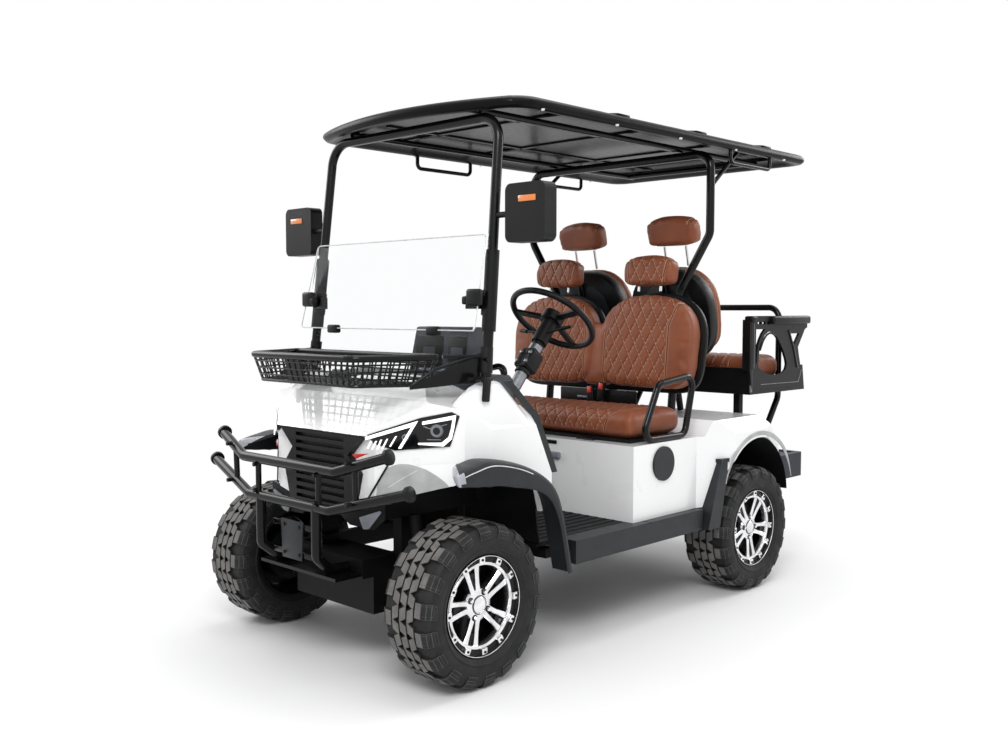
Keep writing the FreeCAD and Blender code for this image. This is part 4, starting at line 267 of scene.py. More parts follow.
finishes = {
    "paint": paintFinish(),
    "steel": metalFinish("blackSteel", (0.0035, 0.0035, 0.0038), 0.22, 0.0, 0.14, shine=0.16),
    "frame": metalFinish("frameSteel", (0.004, 0.004, 0.0045), 0.5, 0.0, 0.0, shine=0.14),
    "black": plasticFinish("blackPlastic", (0.0048, 0.0048, 0.0053), 0.36, 1100, 0.0001),
    "roof": plasticFinish("roofPlastic", (0.0028, 0.0028, 0.003), 0.3, 800, 0.00004, 0.06, 0.08),
    "slate": plasticFinish("slatePlastic", (0.0155, 0.0175, 0.021), 0.4, 900, 0.00014, shine=0.3),
    "dash": plasticFinish("dashPlastic", (0.050, 0.055, 0.064), 0.45, 700, 0.00014),
    # grey of painted shade on the cheek panels and rear arch lips; also the grey block of the seat-base ledge
    "cheek": plasticFinish("greyPlasticAndPaintedShade", (0.47, 0.48, 0.48), 0.4, 700, 0.0001),
    # pale line of painted highlight, on the flare brows and the cheek creases
    "lip": plasticFinish("paintedHighlightLine", (0.70, 0.71, 0.72), 0.3, 700, 0.00005, 0.4),
    "fin": plasticFinish("finPlastic", (0.20, 0.21, 0.24), 0.35, 700, 0.0001, 0.3),
    # painted highlight on the tops of the flare tips
    "paintedTipHighlight": plasticFinish("paintedTipHighlight", (0.42, 0.44, 0.48), 0.25, 700, 0.00004, 0.8),
    "mat": plasticFinish("matRubber", (0.013, 0.014, 0.015), 0.7, 500, 0.0004),
    "battery": plasticFinish("batteryCase", (0.03, 0.032, 0.036), 0.55, 400, 0.0002),
    "step": plasticFinish("stepPlastic", (0.017, 0.022, 0.032), 0.42, 600, 0.00025),
    "rubber": rubberFinish("tyreRubber", (0.0085, 0.0085, 0.009), (0.016, 0.016, 0.0165), 0.3),
    # pale block tops and lug edges: dust and painted highlight
    "tread": rubberFinish("treadTopDustAndHighlight", (0.115, 0.111, 0.106), (0.165, 0.160, 0.152), 0.4),
    "lugEdgeDustAndHighlight": rubberFinish("lugEdgeDustAndHighlight", (0.045, 0.046, 0.049), (0.075, 0.075, 0.078), 0.4),
    "leather": leatherFinish("tanLeather", False),
    "quilt": leatherFinish("quiltedLeather", True),
    "chrome": metalFinish("chromePost", (0.82, 0.82, 0.83), 0.12),
    "alloy": metalFinish("turnedAlloy", (0.88, 0.88, 0.89), 0.2, scale=160, stretch=(1, 0.2, 0.2)),
    "rimBlack": metalFinish("rimBlack", (0.003, 0.003, 0.003), 0.3, 0.0, 0.15, shine=0.15),
    "sleeve": metalFinish("columnSleeve", (0.30, 0.31, 0.33), 0.28),
    "glass": glassFinish(),
    "paneEdge": metalFinish("paneEdge", (0.62, 0.63, 0.64), 0.3, 0.0, 0.3),
    "lampDark": metalFinish("lampDark", (0.003, 0.003, 0.0035), 0.12, 0.0, 0.35, shine=0.2),
    "dayLight": lightFinish("dayLight", (0.95, 0.95, 0.95), (1, 1, 1), 0.9),
    "amber": lightFinish("amberLens", (0.62, 0.17, 0.02), (1.0, 0.30, 0.04), 0.10),
    # glowing red: lamp light on the tail lamps, painted glow on the reflectors, buckle buttons and dash knob
    "red": lightFinish("redGlow", (0.42, 0.015, 0.012), (0.9, 0.04, 0.02), 0.12),
    "grilleMesh": plasticFinish("grilleMesh", (0.004, 0.004, 0.0045), 0.36, 300, 0.0006),
}

nodeFinish = {
    "steel": ["brush_guard", "basket_brackets", "rear_safety_bar", "front_posts", "rear_struts", "roof_rails",
              "hip_rests"],
    "frame": ["chassis_frame", "front_arms", "rear_axle", "springs", "floor_pan", "knuckle_left", "knuckle_right",
              "track_rod", "pedals", "front_basket"],
    "battery": ["battery_pack"], "mat": ["floor_mat"], "slate": ["sills", "body_trims", "flares"],
    "black": ["firewall", "steering_column", "seat_board", "back_shells", "rear_seat_tray", "rear_arms", "mirrors",
              "steering_wheel"],
    "roof": ["roof"], "paint": ["front_cowl", "rear_body"], "lampDark": ["headlamps"], "grilleMesh": ["front_grille"],
    "dash": ["dashboard"], "chrome": ["headrest_posts"], "step": ["rear_step"], "red": ["tail_lamps"],
    "glass": ["windscreen"], "rubber": [n for n in nodes if n.startswith("tyre_")],
    "alloy": [n for n in nodes if n.startswith("rim_")],
    "leather": ["front_seat_cushion", "front_seat_back", "rear_seat_backs", "headrests", "rear_seat_cushion"],
}
for finishName, names in nodeFinish.items():
    for nodeName in names:
        mesh = nodes[nodeName].data
        mesh.materials.clear()
        mesh.materials.append(finishes[finishName])
print("finishes set")


# floor that fades to white, and a white world
stageLook = {"half": 30, "fadeFrom": 1.7, "fadeTo": 3.4, "bounced": 0.62, "seen": 1.0}


def makeStage():
    shape = bmesh.new()
    bmesh.ops.create_grid(shape, x_segments=2, y_segments=2, size=stageLook["half"])
    mesh = takeMesh("studioFloor", shape)
    addItem("studioFloor", mesh)
    finish = newFinish("studioFloor", (0.88, 0.88, 0.885), 0.6, {"Specular IOR Level": 0.15})
    tree = finish.node_tree
    addBlend(finish, noiseOf(finish, 1.2, 3), (0.865, 0.865, 0.87), 0.3, 0.7)
    reach = addNode(tree, "ShaderNodeVectorMath", {0: patternPlace(finish)}, {"operation": "LENGTH"}).outputs["Value"]
    fade = addNode(tree, "ShaderNodeMapRange", {"Value": reach}, {"interpolation_type": "SMOOTHSTEP"},
                   From_Min=stageLook["fadeFrom"], From_Max=stageLook["fadeTo"]).outputs["Result"]
    glow = addNode(tree, "ShaderNodeEmission", None, None, Strength=1.0)
    mix = addNode(tree, "ShaderNodeMixShader", {"Fac": fade, 1: shaderOf(finish).outputs[0], 2: glow.outputs[0]})
    tree.links.new(mix.outputs[0], tree.nodes["Material Output"].inputs["Surface"])
    mesh.materials.append(finish)
    world = bpy.data.worlds.new("studioWorld")
    scene.world = world
    world.use_nodes = True
    tree = world.node_tree
    path = addNode(tree, "ShaderNodeLightPath")
    rays = [path.outputs[f"Is {kind} Ray"] for kind in ("Camera", "Glossy", "Transmission")]
    seen = addNode(tree, "ShaderNodeMath", {0: rays[0], 1: rays[1]}, {"operation": "ADD"})
    seen = addNode(tree, "ShaderNodeMath", {0: seen.outputs[0], 1: rays[2]}, {"operation": "ADD", "use_clamp": True})
    strength = addNode(tree, "ShaderNodeMapRange", {"Value": seen.outputs[0]},
                       To_Min=stageLook["bounced"], To_Max=stageLook["seen"])
    back = tree.nodes["Background"]
    back.inputs["Color"].default_value = (1, 1, 1, 1)
    tree.links.new(strength.outputs["Result"], back.inputs["Strength"])


makeStage()


# small tools for meshes
def placeMesh(name, mesh, finish, body, angle=35, replaced=()):
    for entry in ([finish] if isinstance(finish, str) else finish):
        mesh.materials.append(finishes[entry])
    mesh.shade_smooth()
    mesh.set_sharp_from_angle(angle=math.radians(angle))
    item = addItem(name, mesh)
    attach(item, body)
    if replaced:
        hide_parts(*replaced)
    return item


def closeShape(name, shape, finish, body, angle=35, replaced=()):
    bmesh.ops.remove_doubles(shape, verts=shape.verts[:], dist=0.00002)
    bmesh.ops.recalc_face_normals(shape, faces=shape.faces[:])
    return placeMesh(name, takeMesh(name, shape), finish, body, angle, replaced)


# stations run back from the front axle
def spot(x, station, high):
    return Vector((x, frontAxle + station, high))


def spots(places, hand=1):
    return [spot(hand * x, station, high) for x, station, high in places]


def placeAt(x, station, high, lean=0):
    return Matrix.Translation(spot(x, station, high)) @ Matrix.Rotation(math.radians(lean), 4, "X")


def slotFaces(verts, slot):
    faces = list(dict.fromkeys(f for v in verts for f in v.link_faces))
    for face in faces:
        face.material_index = slot
    return faces


def bevelFaces(shape, faces, bevel, steps):
    edges = list(dict.fromkeys(e for f in faces for e in f.edges))
    bmesh.ops.bevel(shape, geom=edges, offset=bevel, segments=steps, profile=0.5, affect="EDGES",
                    material=-1, clamp_overlap=True)


def addBlock(shape, size, place, bevel=0.0, steps=2, slot=0):
    made = bmesh.ops.create_cube(shape, size=1, matrix=place @ Matrix.Diagonal((*size, 1)))
    faces = slotFaces(made["verts"], slot)
    if bevel:
        bevelFaces(shape, faces, bevel, steps)


def addRod(shape, start, end, radius, sides=12, other=None, slot=0):
    run = Vector(end) - Vector(start)
    place = Matrix.Translation((Vector(start) + Vector(end)) / 2) @ run.to_track_quat("Z", "Y").to_matrix().to_4x4()
    made = bmesh.ops.create_cone(shape, cap_ends=True, segments=sides, radius1=radius,
                                 radius2=radius if other is None else other, depth=run.length, matrix=place)
    slotFaces(made["verts"], slot)


def addPlate(shape, outline, push, slot=0, bevel=0.0):
    face = shape.faces.new([shape.verts.new(p) for p in outline])
    grown = bmesh.ops.extrude_face_region(shape, geom=[face])
    moved = [g for g in grown["geom"] if isinstance(g, bmesh.types.BMVert)]
    bmesh.ops.translate(shape, verts=moved, vec=push)
    around = slotFaces(moved, slot) + [face]
    face.material_index = slot
    if bevel:
        bevelFaces(shape, around, bevel, 2)


# skin over rings of equal length, closed at both ends
def addLoft(shape, rings, slotAt=None):
    rows = [[shape.verts.new(p) for p in ring] for ring in rings]
    made = []
    for index, (first, second) in enumerate(zip(rows, rows[1:])):
        for a in range(len(first)):
            b = (a + 1) % len(first)
            made.append(shape.faces.new((first[a], first[b], second[b], second[a])))
            made[-1].material_index = slotAt(index, a) if slotAt else 0
    return made + [shape.faces.new(rows[0]), shape.faces.new(rows[-1])]


def addMesh(shape, mesh, slot):
    mesh.polygons.foreach_set("material_index", [slot] * len(mesh.polygons))
    shape.from_mesh(mesh)
    bpy.data.meshes.remove(mesh)


def spinRing(shape, profile, steps=72, slot=0, closed=True):
    ring = bmesh.new()
    verts = [ring.verts.new((x, 0, r)) for x, r in profile]
    pairs = list(zip(verts, verts[1:] + verts[:1])) if closed else list(zip(verts, verts[1:]))
    edges = [ring.edges.new(pair) for pair in pairs]
    bmesh.ops.spin(ring, geom=verts + edges, cent=(0, 0, 0), axis=(1, 0, 0), angle=math.tau, steps=steps,
                   use_merge=True, use_duplicate=False)
    addMesh(shape, takeMesh("ring", ring), slot)


def tubeMesh(points, radius, closed, sides):
    curve = bpy.data.curves.new("tubeLine", "CURVE")
    curve.dimensions = "3D"
    curve.bevel_depth = radius
    curve.bevel_resolution = sides
    curve.use_fill_caps = True
    line = curve.splines.new("POLY")
    line.points.add(len(points) - 1)
    for knot, place in zip(line.points, points):
        knot.co = (*place, 1)
    line.use_cyclic_u = closed
    holder = bpy.data.objects.new("tubeLine", curve)
    mesh = bpy.data.meshes.new_from_object(holder)
    bpy.data.objects.remove(holder)
    return mesh


def roundedLine(corners, bend, closed):
    count, steps = len(corners), 6
    line = []
    for index, corner in enumerate(corners):
        corner = Vector(corner)
        if not closed and index in (0, count - 1):
            line.append(corner)
            continue
        before = Vector(corners[index - 1]) - corner
        after = Vector(corners[(index + 1) % count]) - corner
        reach = min(bend, before.length * 0.48, after.length * 0.48)
        first = corner + before.normalized() * reach
        last = corner + after.normalized() * reach
        for step in range(steps + 1):
            t = step / steps
            line.append(first * (1 - t) ** 2 + corner * 2 * t * (1 - t) + last * t ** 2)
    return line


def addTube(shape, corners, radius, bend=0.03, closed=False, slot=0, sides=4):
    addMesh(shape, tubeMesh(roundedLine(corners, bend, closed), radius, closed, sides), slot)


# tyres with chevron blocks and shoulder lugs; of each pair the first is for the big lugs
tyreLook = {
    "rows": 36, "columns": 3, "pitch": 0.0375, "blockWide": 0.0335, "blockLong": 0.0435, "slant": 0.5,
    "crown": 0.290, "groove": 0.279, "lugWide": (0.0455, 0.0415), "lugFoot": (0.240, 0.254), "lugTurn": 0.058,
    "wall": [(0.080, 0.180), (0.092, 0.178), (0.100, 0.184), (0.1065, 0.194), (0.1095, 0.198), (0.1125, 0.2005),
             (0.1125, 0.204), (0.1105, 0.206), (0.1135, 0.218), (0.1150, 0.235), (0.1135, 0.251), (0.1095, 0.2675),
             (0.098, 0.2785), (0.060, 0.2795)],
}


def makeTyreMesh():
    shape = bmesh.new()
    wall, rows, crown = tyreLook["wall"], tyreLook["rows"], tyreLook["crown"]
    spinRing(shape, wall + [(0.0, 0.280)] + [(-x, r) for x, r in reversed(wall)], 72)
    high = crown - tyreLook["groove"] + 0.002
    for row in range(rows):
        turn = Matrix.Rotation(math.tau * row / rows, 4, "X")
        slant = tyreLook["slant"] * (1 if row % 2 else -1)
        longer = 1.06 if row % 2 else 0.94
        shear = Matrix(((1, 0, 0, 0), (slant, 1, 0, 0), (0, 0, 1, 0), (0, 0, 0, 1)))
        for column in range(tyreLook["columns"]):
            across = (column - 1) * tyreLook["pitch"]
            place = turn @ Matrix.Translation((across, 0, crown - high / 2)) @ shear
            addBlock(shape, (tyreLook["blockWide"], tyreLook["blockLong"] * longer, high), place, 0.0015, 1)
        for hand in (1, -1):
            small = int(row % 2 != (0 if hand > 0 else 1))
            wide, foot = tyreLook["lugWide"][small], tyreLook["lugFoot"][small]
            lug = [(0.0585, 0.2895), (0.088, 0.289), (0.106, 0.280), (0.1155, 0.264), (0.1180, foot),
                   (0.113, foot - 0.002), (0.108, 0.260), (0.098, 0.270), (0.0585, 0.276)]
            place = turn @ Matrix.Rotation(-hand * slant * tyreLook["lugTurn"] / 0.285, 4, "X")
            loop = [place @ Vector((hand * x, -wide / 2, r)) for x, r in lug]
            addPlate(shape, loop, place.to_3x3() @ Vector((0, wide, 0)), 0, 0.0013)
    bmesh.ops.recalc_face_normals(shape, faces=shape.faces[:])
    # the pale tops and lug edges carry dust and a painted highlight
    for part in shape.faces:  # pale tops, and pale edges of the lugs
        middle = part.calc_center_median()
        reach = math.hypot(middle.y, middle.z)
        up = (part.normal.y * middle.y + part.normal.z * middle.z) / reach
        if reach > 0.2865 and up > 0.9 and part.calc_area() > 0.0002:
            part.material_index = 1
        elif reach > 0.236 and abs(middle.x) > 0.06 and part.calc_area() < 0.00006 and len(part.verts) == 4:
            part.material_index = 2
    return takeMesh("tyreShape", shape)


# rim: split spokes, black outer ring with bolted tabs, cap and nuts; turned rings from the face and ring sizes
rimLook = {
    "spokes": 5, "tabs": 12, "nuts": 4, "face": 0.070, "ring": 0.148, "hub": 0.044,
    "spokeShares": (0.0, 0.2, 0.45, 0.7, 0.88, 1.0), "windows": ((0.094, 0.016, 0.026), (0.128, 0.026, 0.030)),
    "barrel": [(0.099, 0.1775), (0.099, 0.1745), (0.094, 0.1725), (0.086, 0.170), (0.084, 0.156), (0.076, 0.151),
               (0.030, 0.149), (-0.050, 0.148), (-0.085, 0.164), (-0.098, 0.172), (-0.098, 0.1775),
               (-0.084, 0.1795), (0.085, 0.1795)],
    "edge": [(0.0985, 0.1772), (0.1005, 0.1768), (0.1005, 0.1752), (0.0985, 0.1745)],
    "band": [(0.012, 0.0055), (0.014, 0.0035), (0.012, -0.006), (0.004, -0.009), (-0.012, -0.009), (-0.016, 0.002),
             (0.004, 0.0055)],
    "disc": [(0.003, 0.0), (0.003, 0.046), (-0.001, 0.056), (-0.010, 0.060), (-0.024, 0.058), (-0.024, 0.0)],
    "shade": [(-0.052, 0.030), (-0.050, 0.146), (-0.056, 0.147), (-0.058, 0.030)],
    "capLine": [(0.0035, 0.0345), (0.0048, 0.0335), (0.0048, 0.0325), (0.0035, 0.0315)],
    "cap": [(0.016, 0.0), (0.0155, 0.013), (0.0125, 0.024), (0.007, 0.030), (0.002, 0.031)],
}


def addSpoke(shape, turn, hand, face):
    inner, outer = rimLook["hub"], rimLook["ring"] - 0.002
    rings = []
    for share in rimLook["spokeShares"]:
        reach = inner + (outer - inner) * share
        middle = 0.0125 + 0.0150 * share ** 1.3
        wide = 0.0215 - 0.004 * math.sin(math.pi * share) + 0.004 * share ** 6
        front = face + 0.002 + 0.007 * share ** 1.5
        profile = [(front - 0.026, -wide / 2), (front - 0.003, -wide / 2), (front, -wide / 2 + 0.0025),
                   (front, wide / 2 - 0.0025), (front - 0.003, wide / 2), (front - 0.026, wide / 2)]
        rings.append([turn @ Vector((x, hand * (middle + y), reach)) for x, y in profile])
    addLoft(shape, rings)


def makeRimMesh():
    shape = bmesh.new()
    face, ring = rimLook["face"], rimLook["ring"]

    def around(count, half=0.5):
        return [Matrix.Rotation(math.tau * (index + half) / count, 4, "X") for index in range(count)]

    def faceRing(part, steps, slot, out=0.0, closed=True):
        spinRing(shape, [(face + x, out + r) for x, r in rimLook[part]], steps, slot, closed)

    spinRing(shape, rimLook["barrel"], 96, 1)
    spinRing(shape, rimLook["edge"], 96, 0)
    faceRing("band", 96, 0, ring)
    faceRing("disc", 60, 0, closed=False)
    faceRing("shade", 60, 1)
    for turn in around(rimLook["spokes"], 0):
        addSpoke(shape, turn, 1, face)
        addSpoke(shape, turn, -1, face)
        for high, wide, long in rimLook["windows"]:
            addBlock(shape, (0.006, wide, long), turn @ Matrix.Translation((face - 0.010, 0, high)), 0.004, 2, 1)
        boss = turn @ Vector((face - 0.012, 0, 0.111))
        addRod(shape, boss, boss + Vector((0.013, 0, 0)), 0.0115, 20, slot=1)
    for turn in around(rimLook["tabs"]):
        addBlock(shape, (0.012, 0.027, 0.025), turn @ Matrix.Translation((0.0895, 0, 0.1625)), 0.003, 2, 0)
        bolt = turn @ Vector((0.0950, 0, 0.1635))
        addRod(shape, bolt, bolt + Vector((0.0030, 0, 0)), 0.0052, 6, slot=1)
    for turn in around(rimLook["nuts"]):
        seat = turn @ Vector((face + 0.0028, 0, 0.0475))
        addRod(shape, seat, seat + Vector((0.0015, 0, 0)), 0.0115, 20, slot=1)
        addRod(shape, seat, seat + Vector((0.0090, 0, 0)), 0.0080, 6, 0.0070, slot=0)
    faceRing("capLine", 48, 1)
    faceRing("cap", 48, 0, closed=False)
    bmesh.ops.remove_doubles(shape, verts=shape.verts[:], dist=0.00002)
    bmesh.ops.recalc_face_normals(shape, faces=shape.faces[:])
    return takeMesh("rimShape", shape)


wheelLook = {"high": 0.290, "turn": {"front": 17, "rear": 41}, "axle": {"front": frontAxle, "rear": rearAxle}}
wheelParts = (("tyre", makeTyreMesh(), ("rubber", "tread", "lugEdgeDustAndHighlight"), 32),
              ("rim", makeRimMesh(), ("alloy", "rimBlack"), 28))
for end, axle in wheelLook["axle"].items():
    for hand, side in bothSides:
        place = Matrix.Translation((hand * wheelOut, axle, wheelLook["high"]))
        place = place @ Matrix.Rotation(0 if hand > 0 else math.pi, 4, "Z")
        place = place @ Matrix.Rotation(math.radians(wheelLook["turn"][end]), 4, "X")
        for kind, source, look, angle in wheelParts:
            mesh = source.copy()
            mesh.transform(place)
            placeMesh(f"{kind}_look_{end}_{side}", mesh, look, f"wheel_{end}_{side}", angle, (f"{kind}_{end}_{side}",))
print("wheels made")


# padded seats: remeshed, inflated as cloth, then sewn
padLook = {"voxel": 0.008, "pressure": 4.0, "mass": 0.3, "frames": 20, "smooth": 3, "dent": 0.0036, "dentWide": 0.0055,
           "seamDent": 0.0045, "seamWide": 0.006}


def applyAll(item):
    bpy.context.view_layer.update()
    graph = bpy.context.evaluated_depsgraph_get()
    mesh = bpy.data.meshes.new_from_object(item.evaluated_get(graph))
    item.modifiers.clear()
    old = item.data
    item.data = mesh
    bpy.data.meshes.remove(old)


def inflate(item, limit):
    remesh = item.modifiers.new("Remesh", "REMESH")
    remesh.mode = "VOXEL"
    remesh.voxel_size = padLook["voxel"]
    applyAll(item)
    rest = [v.co.copy() for v in item.data.vertices]
    settings = item.modifiers.new("Cloth", "CLOTH").settings
    settings.quality = 4
    settings.mass = padLook["mass"]
    settings.use_pressure = True
    settings.uniform_pressure_force = padLook["pressure"]
    settings.effector_weights.gravity = 0
    for number in range(1, padLook["frames"] + 1):
        scene.frame_set(number)
    applyAll(item)
    scene.frame_set(1)
    for v, start in zip(item.data.vertices, rest):
        step = v.co - start
        if step.length > limit:
            v.co = start + step.normalized() * limit
    shape = bmesh.new()
    shape.from_mesh(item.data)
    for _ in range(padLook["smooth"]):
        bmesh.ops.smooth_vert(shape, verts=shape.verts[:], factor=0.5, use_axis_x=True, use_axis_y=True,
                              use_axis_z=True)
    shape.to_mesh(item.data)
    shape.free()
    finer = item.modifiers.new("Finer", "SUBSURF")
    finer.levels = finer.render_levels = 1
    applyAll(item)


# diamonds and seams pressed in and marked for the leather's painted shade, with the stitches' places left for the
# leather
def sewPad(item, flat, quilted, seam):
    mesh = item.data
    grooveShade, quilts, seams = (mesh.attributes.new(n, "FLOAT", "POINT") for n in ("groove", "quilted", "seam"))
    wide, high = quiltCell["width"], quiltCell["height"]
    scale = math.hypot(1 / wide, 1 / high)
    normals = [v.normal.copy() for v in mesh.vertices]
    places = []
    for v, normal in zip(mesh.vertices, normals):
        u, w = flat(v.co)
        inside = quilted(v.co, normal)
        away = seam(v.co, normal)
        first, second = u / wide + w / high, u / wide - w / high
        near = min(abs(first - round(first)), abs(second - round(second))) / scale
        deep = math.exp(-(near / padLook["dentWide"]) ** 2) * min(max(inside, 0.0), 1.0)
        line = math.exp(-(away / padLook["seamWide"]) ** 2)
        # painted shade in the dents and seams, darkened by the leather finish
        grooveShade.data[v.index].value = min(deep * 0.75 + line, 1.0)
        quilts.data[v.index].value = inside
        seams.data[v.index].value = away
        places.append(v.co - normal * (padLook["dent"] * deep + padLook["seamDent"] * line))
    cells = mesh.uv_layers.new(name="sewing")
    for loop in mesh.loops:
        cells.data[loop.index].uv = flat(mesh.vertices[loop.vertex_index].co)
    for v, place in zip(mesh.vertices, places):
        v.co = place
    mesh.update()


def padObject(name, shape, body, limit, flat, quilted, seam, replaced):
    bmesh.ops.recalc_face_normals(shape, faces=shape.faces[:])
    item = addItem(name, takeMesh(name, shape))
    inflate(item, limit)
    sewPad(item, flat, quilted, seam)
    item.data.materials.clear()
    item.data.materials.append(finishes["quilt"])
    item.data.shade_smooth()
    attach(item, body)
    if replaced:
        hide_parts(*replaced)
    print(name, "sewn")


def ramp(amount, low, high):
    return min(max((amount - low) / (high - low), 0.0), 1.0)


# front bench cushion: its side seams lean out at the top and in at the front
benchLook = {"trim": (0.020, 0.020, 0.018), "bevel": 0.038, "side": 0.150, "flare": 0.045, "nose": 0.05,
             "limit": 0.012}


def makeFrontCushion():
    low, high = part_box("front_seat_cushion")
    shape = bmesh.new()
    addBlock(shape, (high - low) - Vector(benchLook["trim"]), Matrix.Translation((low + high) / 2),
             benchLook["bevel"], 5)
    edge = high.x - benchLook["side"]

    def flat(p):
        return p.x, (high.y - p.y) + (high.z - p.z)

    def bowAt(p):
        out = edge + benchLook["flare"] * ramp(p.z, low.z, high.z)
        return out - benchLook["nose"] * ramp(-p.y, -low.y - 0.06, -low.y)

    def seamAt(p, n):
        return abs(abs(p.x) - bowAt(p)) if n.z > -0.5 else 1.0

    def quilted(p, n):
        inner = ramp(bowAt(p) - abs(p.x), 0.004, 0.016)
        return inner * (1 if n.z > -0.4 else 0) * ramp(high.y - p.y, 0.03, 0.06)

    padObject("bench_cushion", shape, "seat_lid", benchLook["limit"], flat, quilted, seamAt, ("front_seat_cushion",))


# outline of a rounded back, squarer at the bottom
def backOutline(half, high, power=2.4, foot=5.0, waist=0.06):
    loop = []
    for index in range(48):
        angle = math.tau * index / 48
        c, s = math.cos(angle), math.sin(angle)
        n = power if s > 0 else foot
        x = half * math.copysign(abs(c) ** (2 / n), c)
        y = math.copysign(abs(s) ** (2 / n), s)
        lift = 0.5 + y / 2
        x *= 1 - waist * (1 - lift) ** 2
        loop.append((x, lift * high))
    return loop


# plate standing at a place, from one depth to another
def addSlab(shape, place, outline, depth, thick, bevel, slot=0):
    loop = [place @ Vector((x, depth, z)) for x, z in outline]
    addPlate(shape, loop, place.to_3x3() @ Vector((0, thick, 0)), slot, bevel)


def flatOn(back):
    def flat(p):
        q = back @ p
        return q.x, q.z

    return flat


# front back: two rounded lobes and a plain strip between them
frontBackLook = {
    "lean": -6.0, "station": 1.395, "low": 0.946, "lobe": 0.290, "half": 0.276, "tall": 0.458, "thick": 0.078,
    "strip": ((-0.07, 0.0), (0.07, 0.0), (0.07, 0.31), (0.03, 0.325), (-0.03, 0.325), (-0.07, 0.31)),
    "outerSeam": 0.425, "innerSeam": 0.062, "flare": 0.05, "limit": 0.014,
}


def makeFrontBack():
    look = frontBackLook
    shape = bmesh.new()
    for hand in (1, -1):
        place = placeAt(hand * look["lobe"], look["station"], look["low"], look["lean"])
        addSlab(shape, place, backOutline(look["half"], look["tall"]), 0.010, look["thick"], 0.022)
    place = placeAt(0, look["station"], look["low"], look["lean"])
    addSlab(shape, place, look["strip"], 0.018, look["thick"] - 0.016, 0.01)
    back = place.inverted()

    def seamsAt(q):
        outer = look["outerSeam"] + look["flare"] * ramp(q.z, 0.30, 0.44)
        inner = look["innerSeam"] + look["flare"] * ramp(q.z, 0.26, 0.44)
        return outer, inner

    def seamAt(p, n):
        q = back @ p
        outer, inner = seamsAt(q)
        return min(abs(abs(q.x) - outer), abs(abs(q.x) - inner)) if n.y < 0.3 else 1.0

    def quilted(p, n):
        q = back @ p
        outer, inner = seamsAt(q)
        return ramp(outer - abs(q.x), 0.004, 0.014) * ramp(abs(q.x) - inner, 0.004, 0.014) * (1 if n.y < 0.2 else 0)

    padObject("bench_back", shape, "chassis", look["limit"], flatOn(back), quilted, seamAt, ("front_seat_back",))


# rear backs face the other way and lean forward at the top
rearBackLook = {"lean": 14.0, "station": 1.878, "low": 1.108, "apart": 0.258, "half": 0.222, "tall": 0.452,
                "thick": 0.072,
                "round": (2.3, 3.4, 0.1), "oval": (0.165, 0.215), "ovalHigh": 0.20, "limit": 0.012}


def makeRearBack(hand, side):
    look = rearBackLook
    place = placeAt(hand * look["apart"], look["station"], look["low"], look["lean"])
    shape = bmesh.new()
    addSlab(shape, place, backOutline(look["half"], look["tall"], *look["round"]), -0.082, look["thick"], 0.024)
    back = place.inverted()

    def ovalAt(q):
        return math.hypot(q.x / look["oval"][0], (q.z - look["ovalHigh"]) / look["oval"][1])

    def seamAt(p, n):
        q = back @ p
        ring = abs(ovalAt(q) - 1) * 0.18
        return min(ring if n.y > 0.3 else 1.0, abs(q.y + 0.050) if q.z > 0.02 else 1.0)

    def quilted(p, n):
        return ramp(1 - ovalAt(back @ p), 0.02, 0.08) * (1 if n.y > 0.3 else 0)

    padObject(f"rear_back_{side}", shape, "chassis", look["limit"], flatOn(back), quilted, seamAt,
              ("rear_seat_backs",) if hand > 0 else ())


# four headrests, those in front sewn in diamonds: station, height, lean, the side that faces the head
headrestLook = {
    "rows": {"front": (1.486, 1.501, -6.0, -1), "rear": (1.662, 1.696, 14.0, 1)},
    "apart": 0.281, "half": 0.138, "tall": 0.136, "thick": 0.072, "round": (3.0, 7.0, 0.03), "seam": 0.106,
    "limit": 0.007, "fill": 0.8,
}


def makeHeadrest(row, hand, side):
    look = headrestLook
    station, high, lean, face = look["rows"][row]
    place = placeAt(hand * look["apart"], station, high, lean)
    shape = bmesh.new()
    loop = [(x, z - look["tall"] / 2) for x, z in backOutline(look["half"], look["tall"], *look["round"])]
    addSlab(shape, place, loop, -look["thick"] / 2, look["thick"], 0.02)
    back = place.inverted()

    def seamAt(p, n):
        q = back @ p
        return abs(abs(q.x) - look["seam"] - 0.012 * (q.z / 0.07)) if n.y * face > -0.5 or q.z > 0.03 else 1.0

    def quilted(p, n):
        q = back @ p
        return ramp(look["seam"] - 0.002 - abs(q.x), 0.0, 0.01) * (1 if row == "front" and n.y * face > 0.0 else 0)

    padObject(f"headrest_{row}_{side}", shape, "chassis", look["limit"], flatOn(back), quilted, seamAt,
              ("headrests",) if row == "front" and hand > 0 else ())


# rear cushion
rearCushionLook = {"trim": (0.018, 0.018, 0.016), "bevel": 0.04, "side": 0.12, "limit": 0.010}


def makeRearCushion():
    low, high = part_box("rear_seat_cushion")
    shape = bmesh.new()
    size = (high - low) - Vector(rearCushionLook["trim"])
    addBlock(shape, size, Matrix.Translation((low + high) / 2), rearCushionLook["bevel"], 5)
    edge = high.x - rearCushionLook["side"]

    def flat(p):
        return p.x, (p.y - low.y) + (high.z - p.z)

    def seamAt(p, n):
        return abs(abs(p.x) - edge) if n.z > -0.5 else 1.0

    def quilted(p, n):
        return ramp(edge - abs(p.x), 0.004, 0.014) * (1 if n.z > -0.4 else 0)

    padObject("rear_cushion", shape, "chassis", rearCushionLook["limit"], flat, quilted, seamAt,
              ("rear_seat_cushion",))


makeFrontCushion()
makeFrontBack()
for hand, side in bothSides:
    makeRearBack(hand, side)
for row in headrestLook["rows"]:
    for hand, side in bothSides:
        makeHeadrest(row, hand, side)
makeRearCushion()
print("seats made")


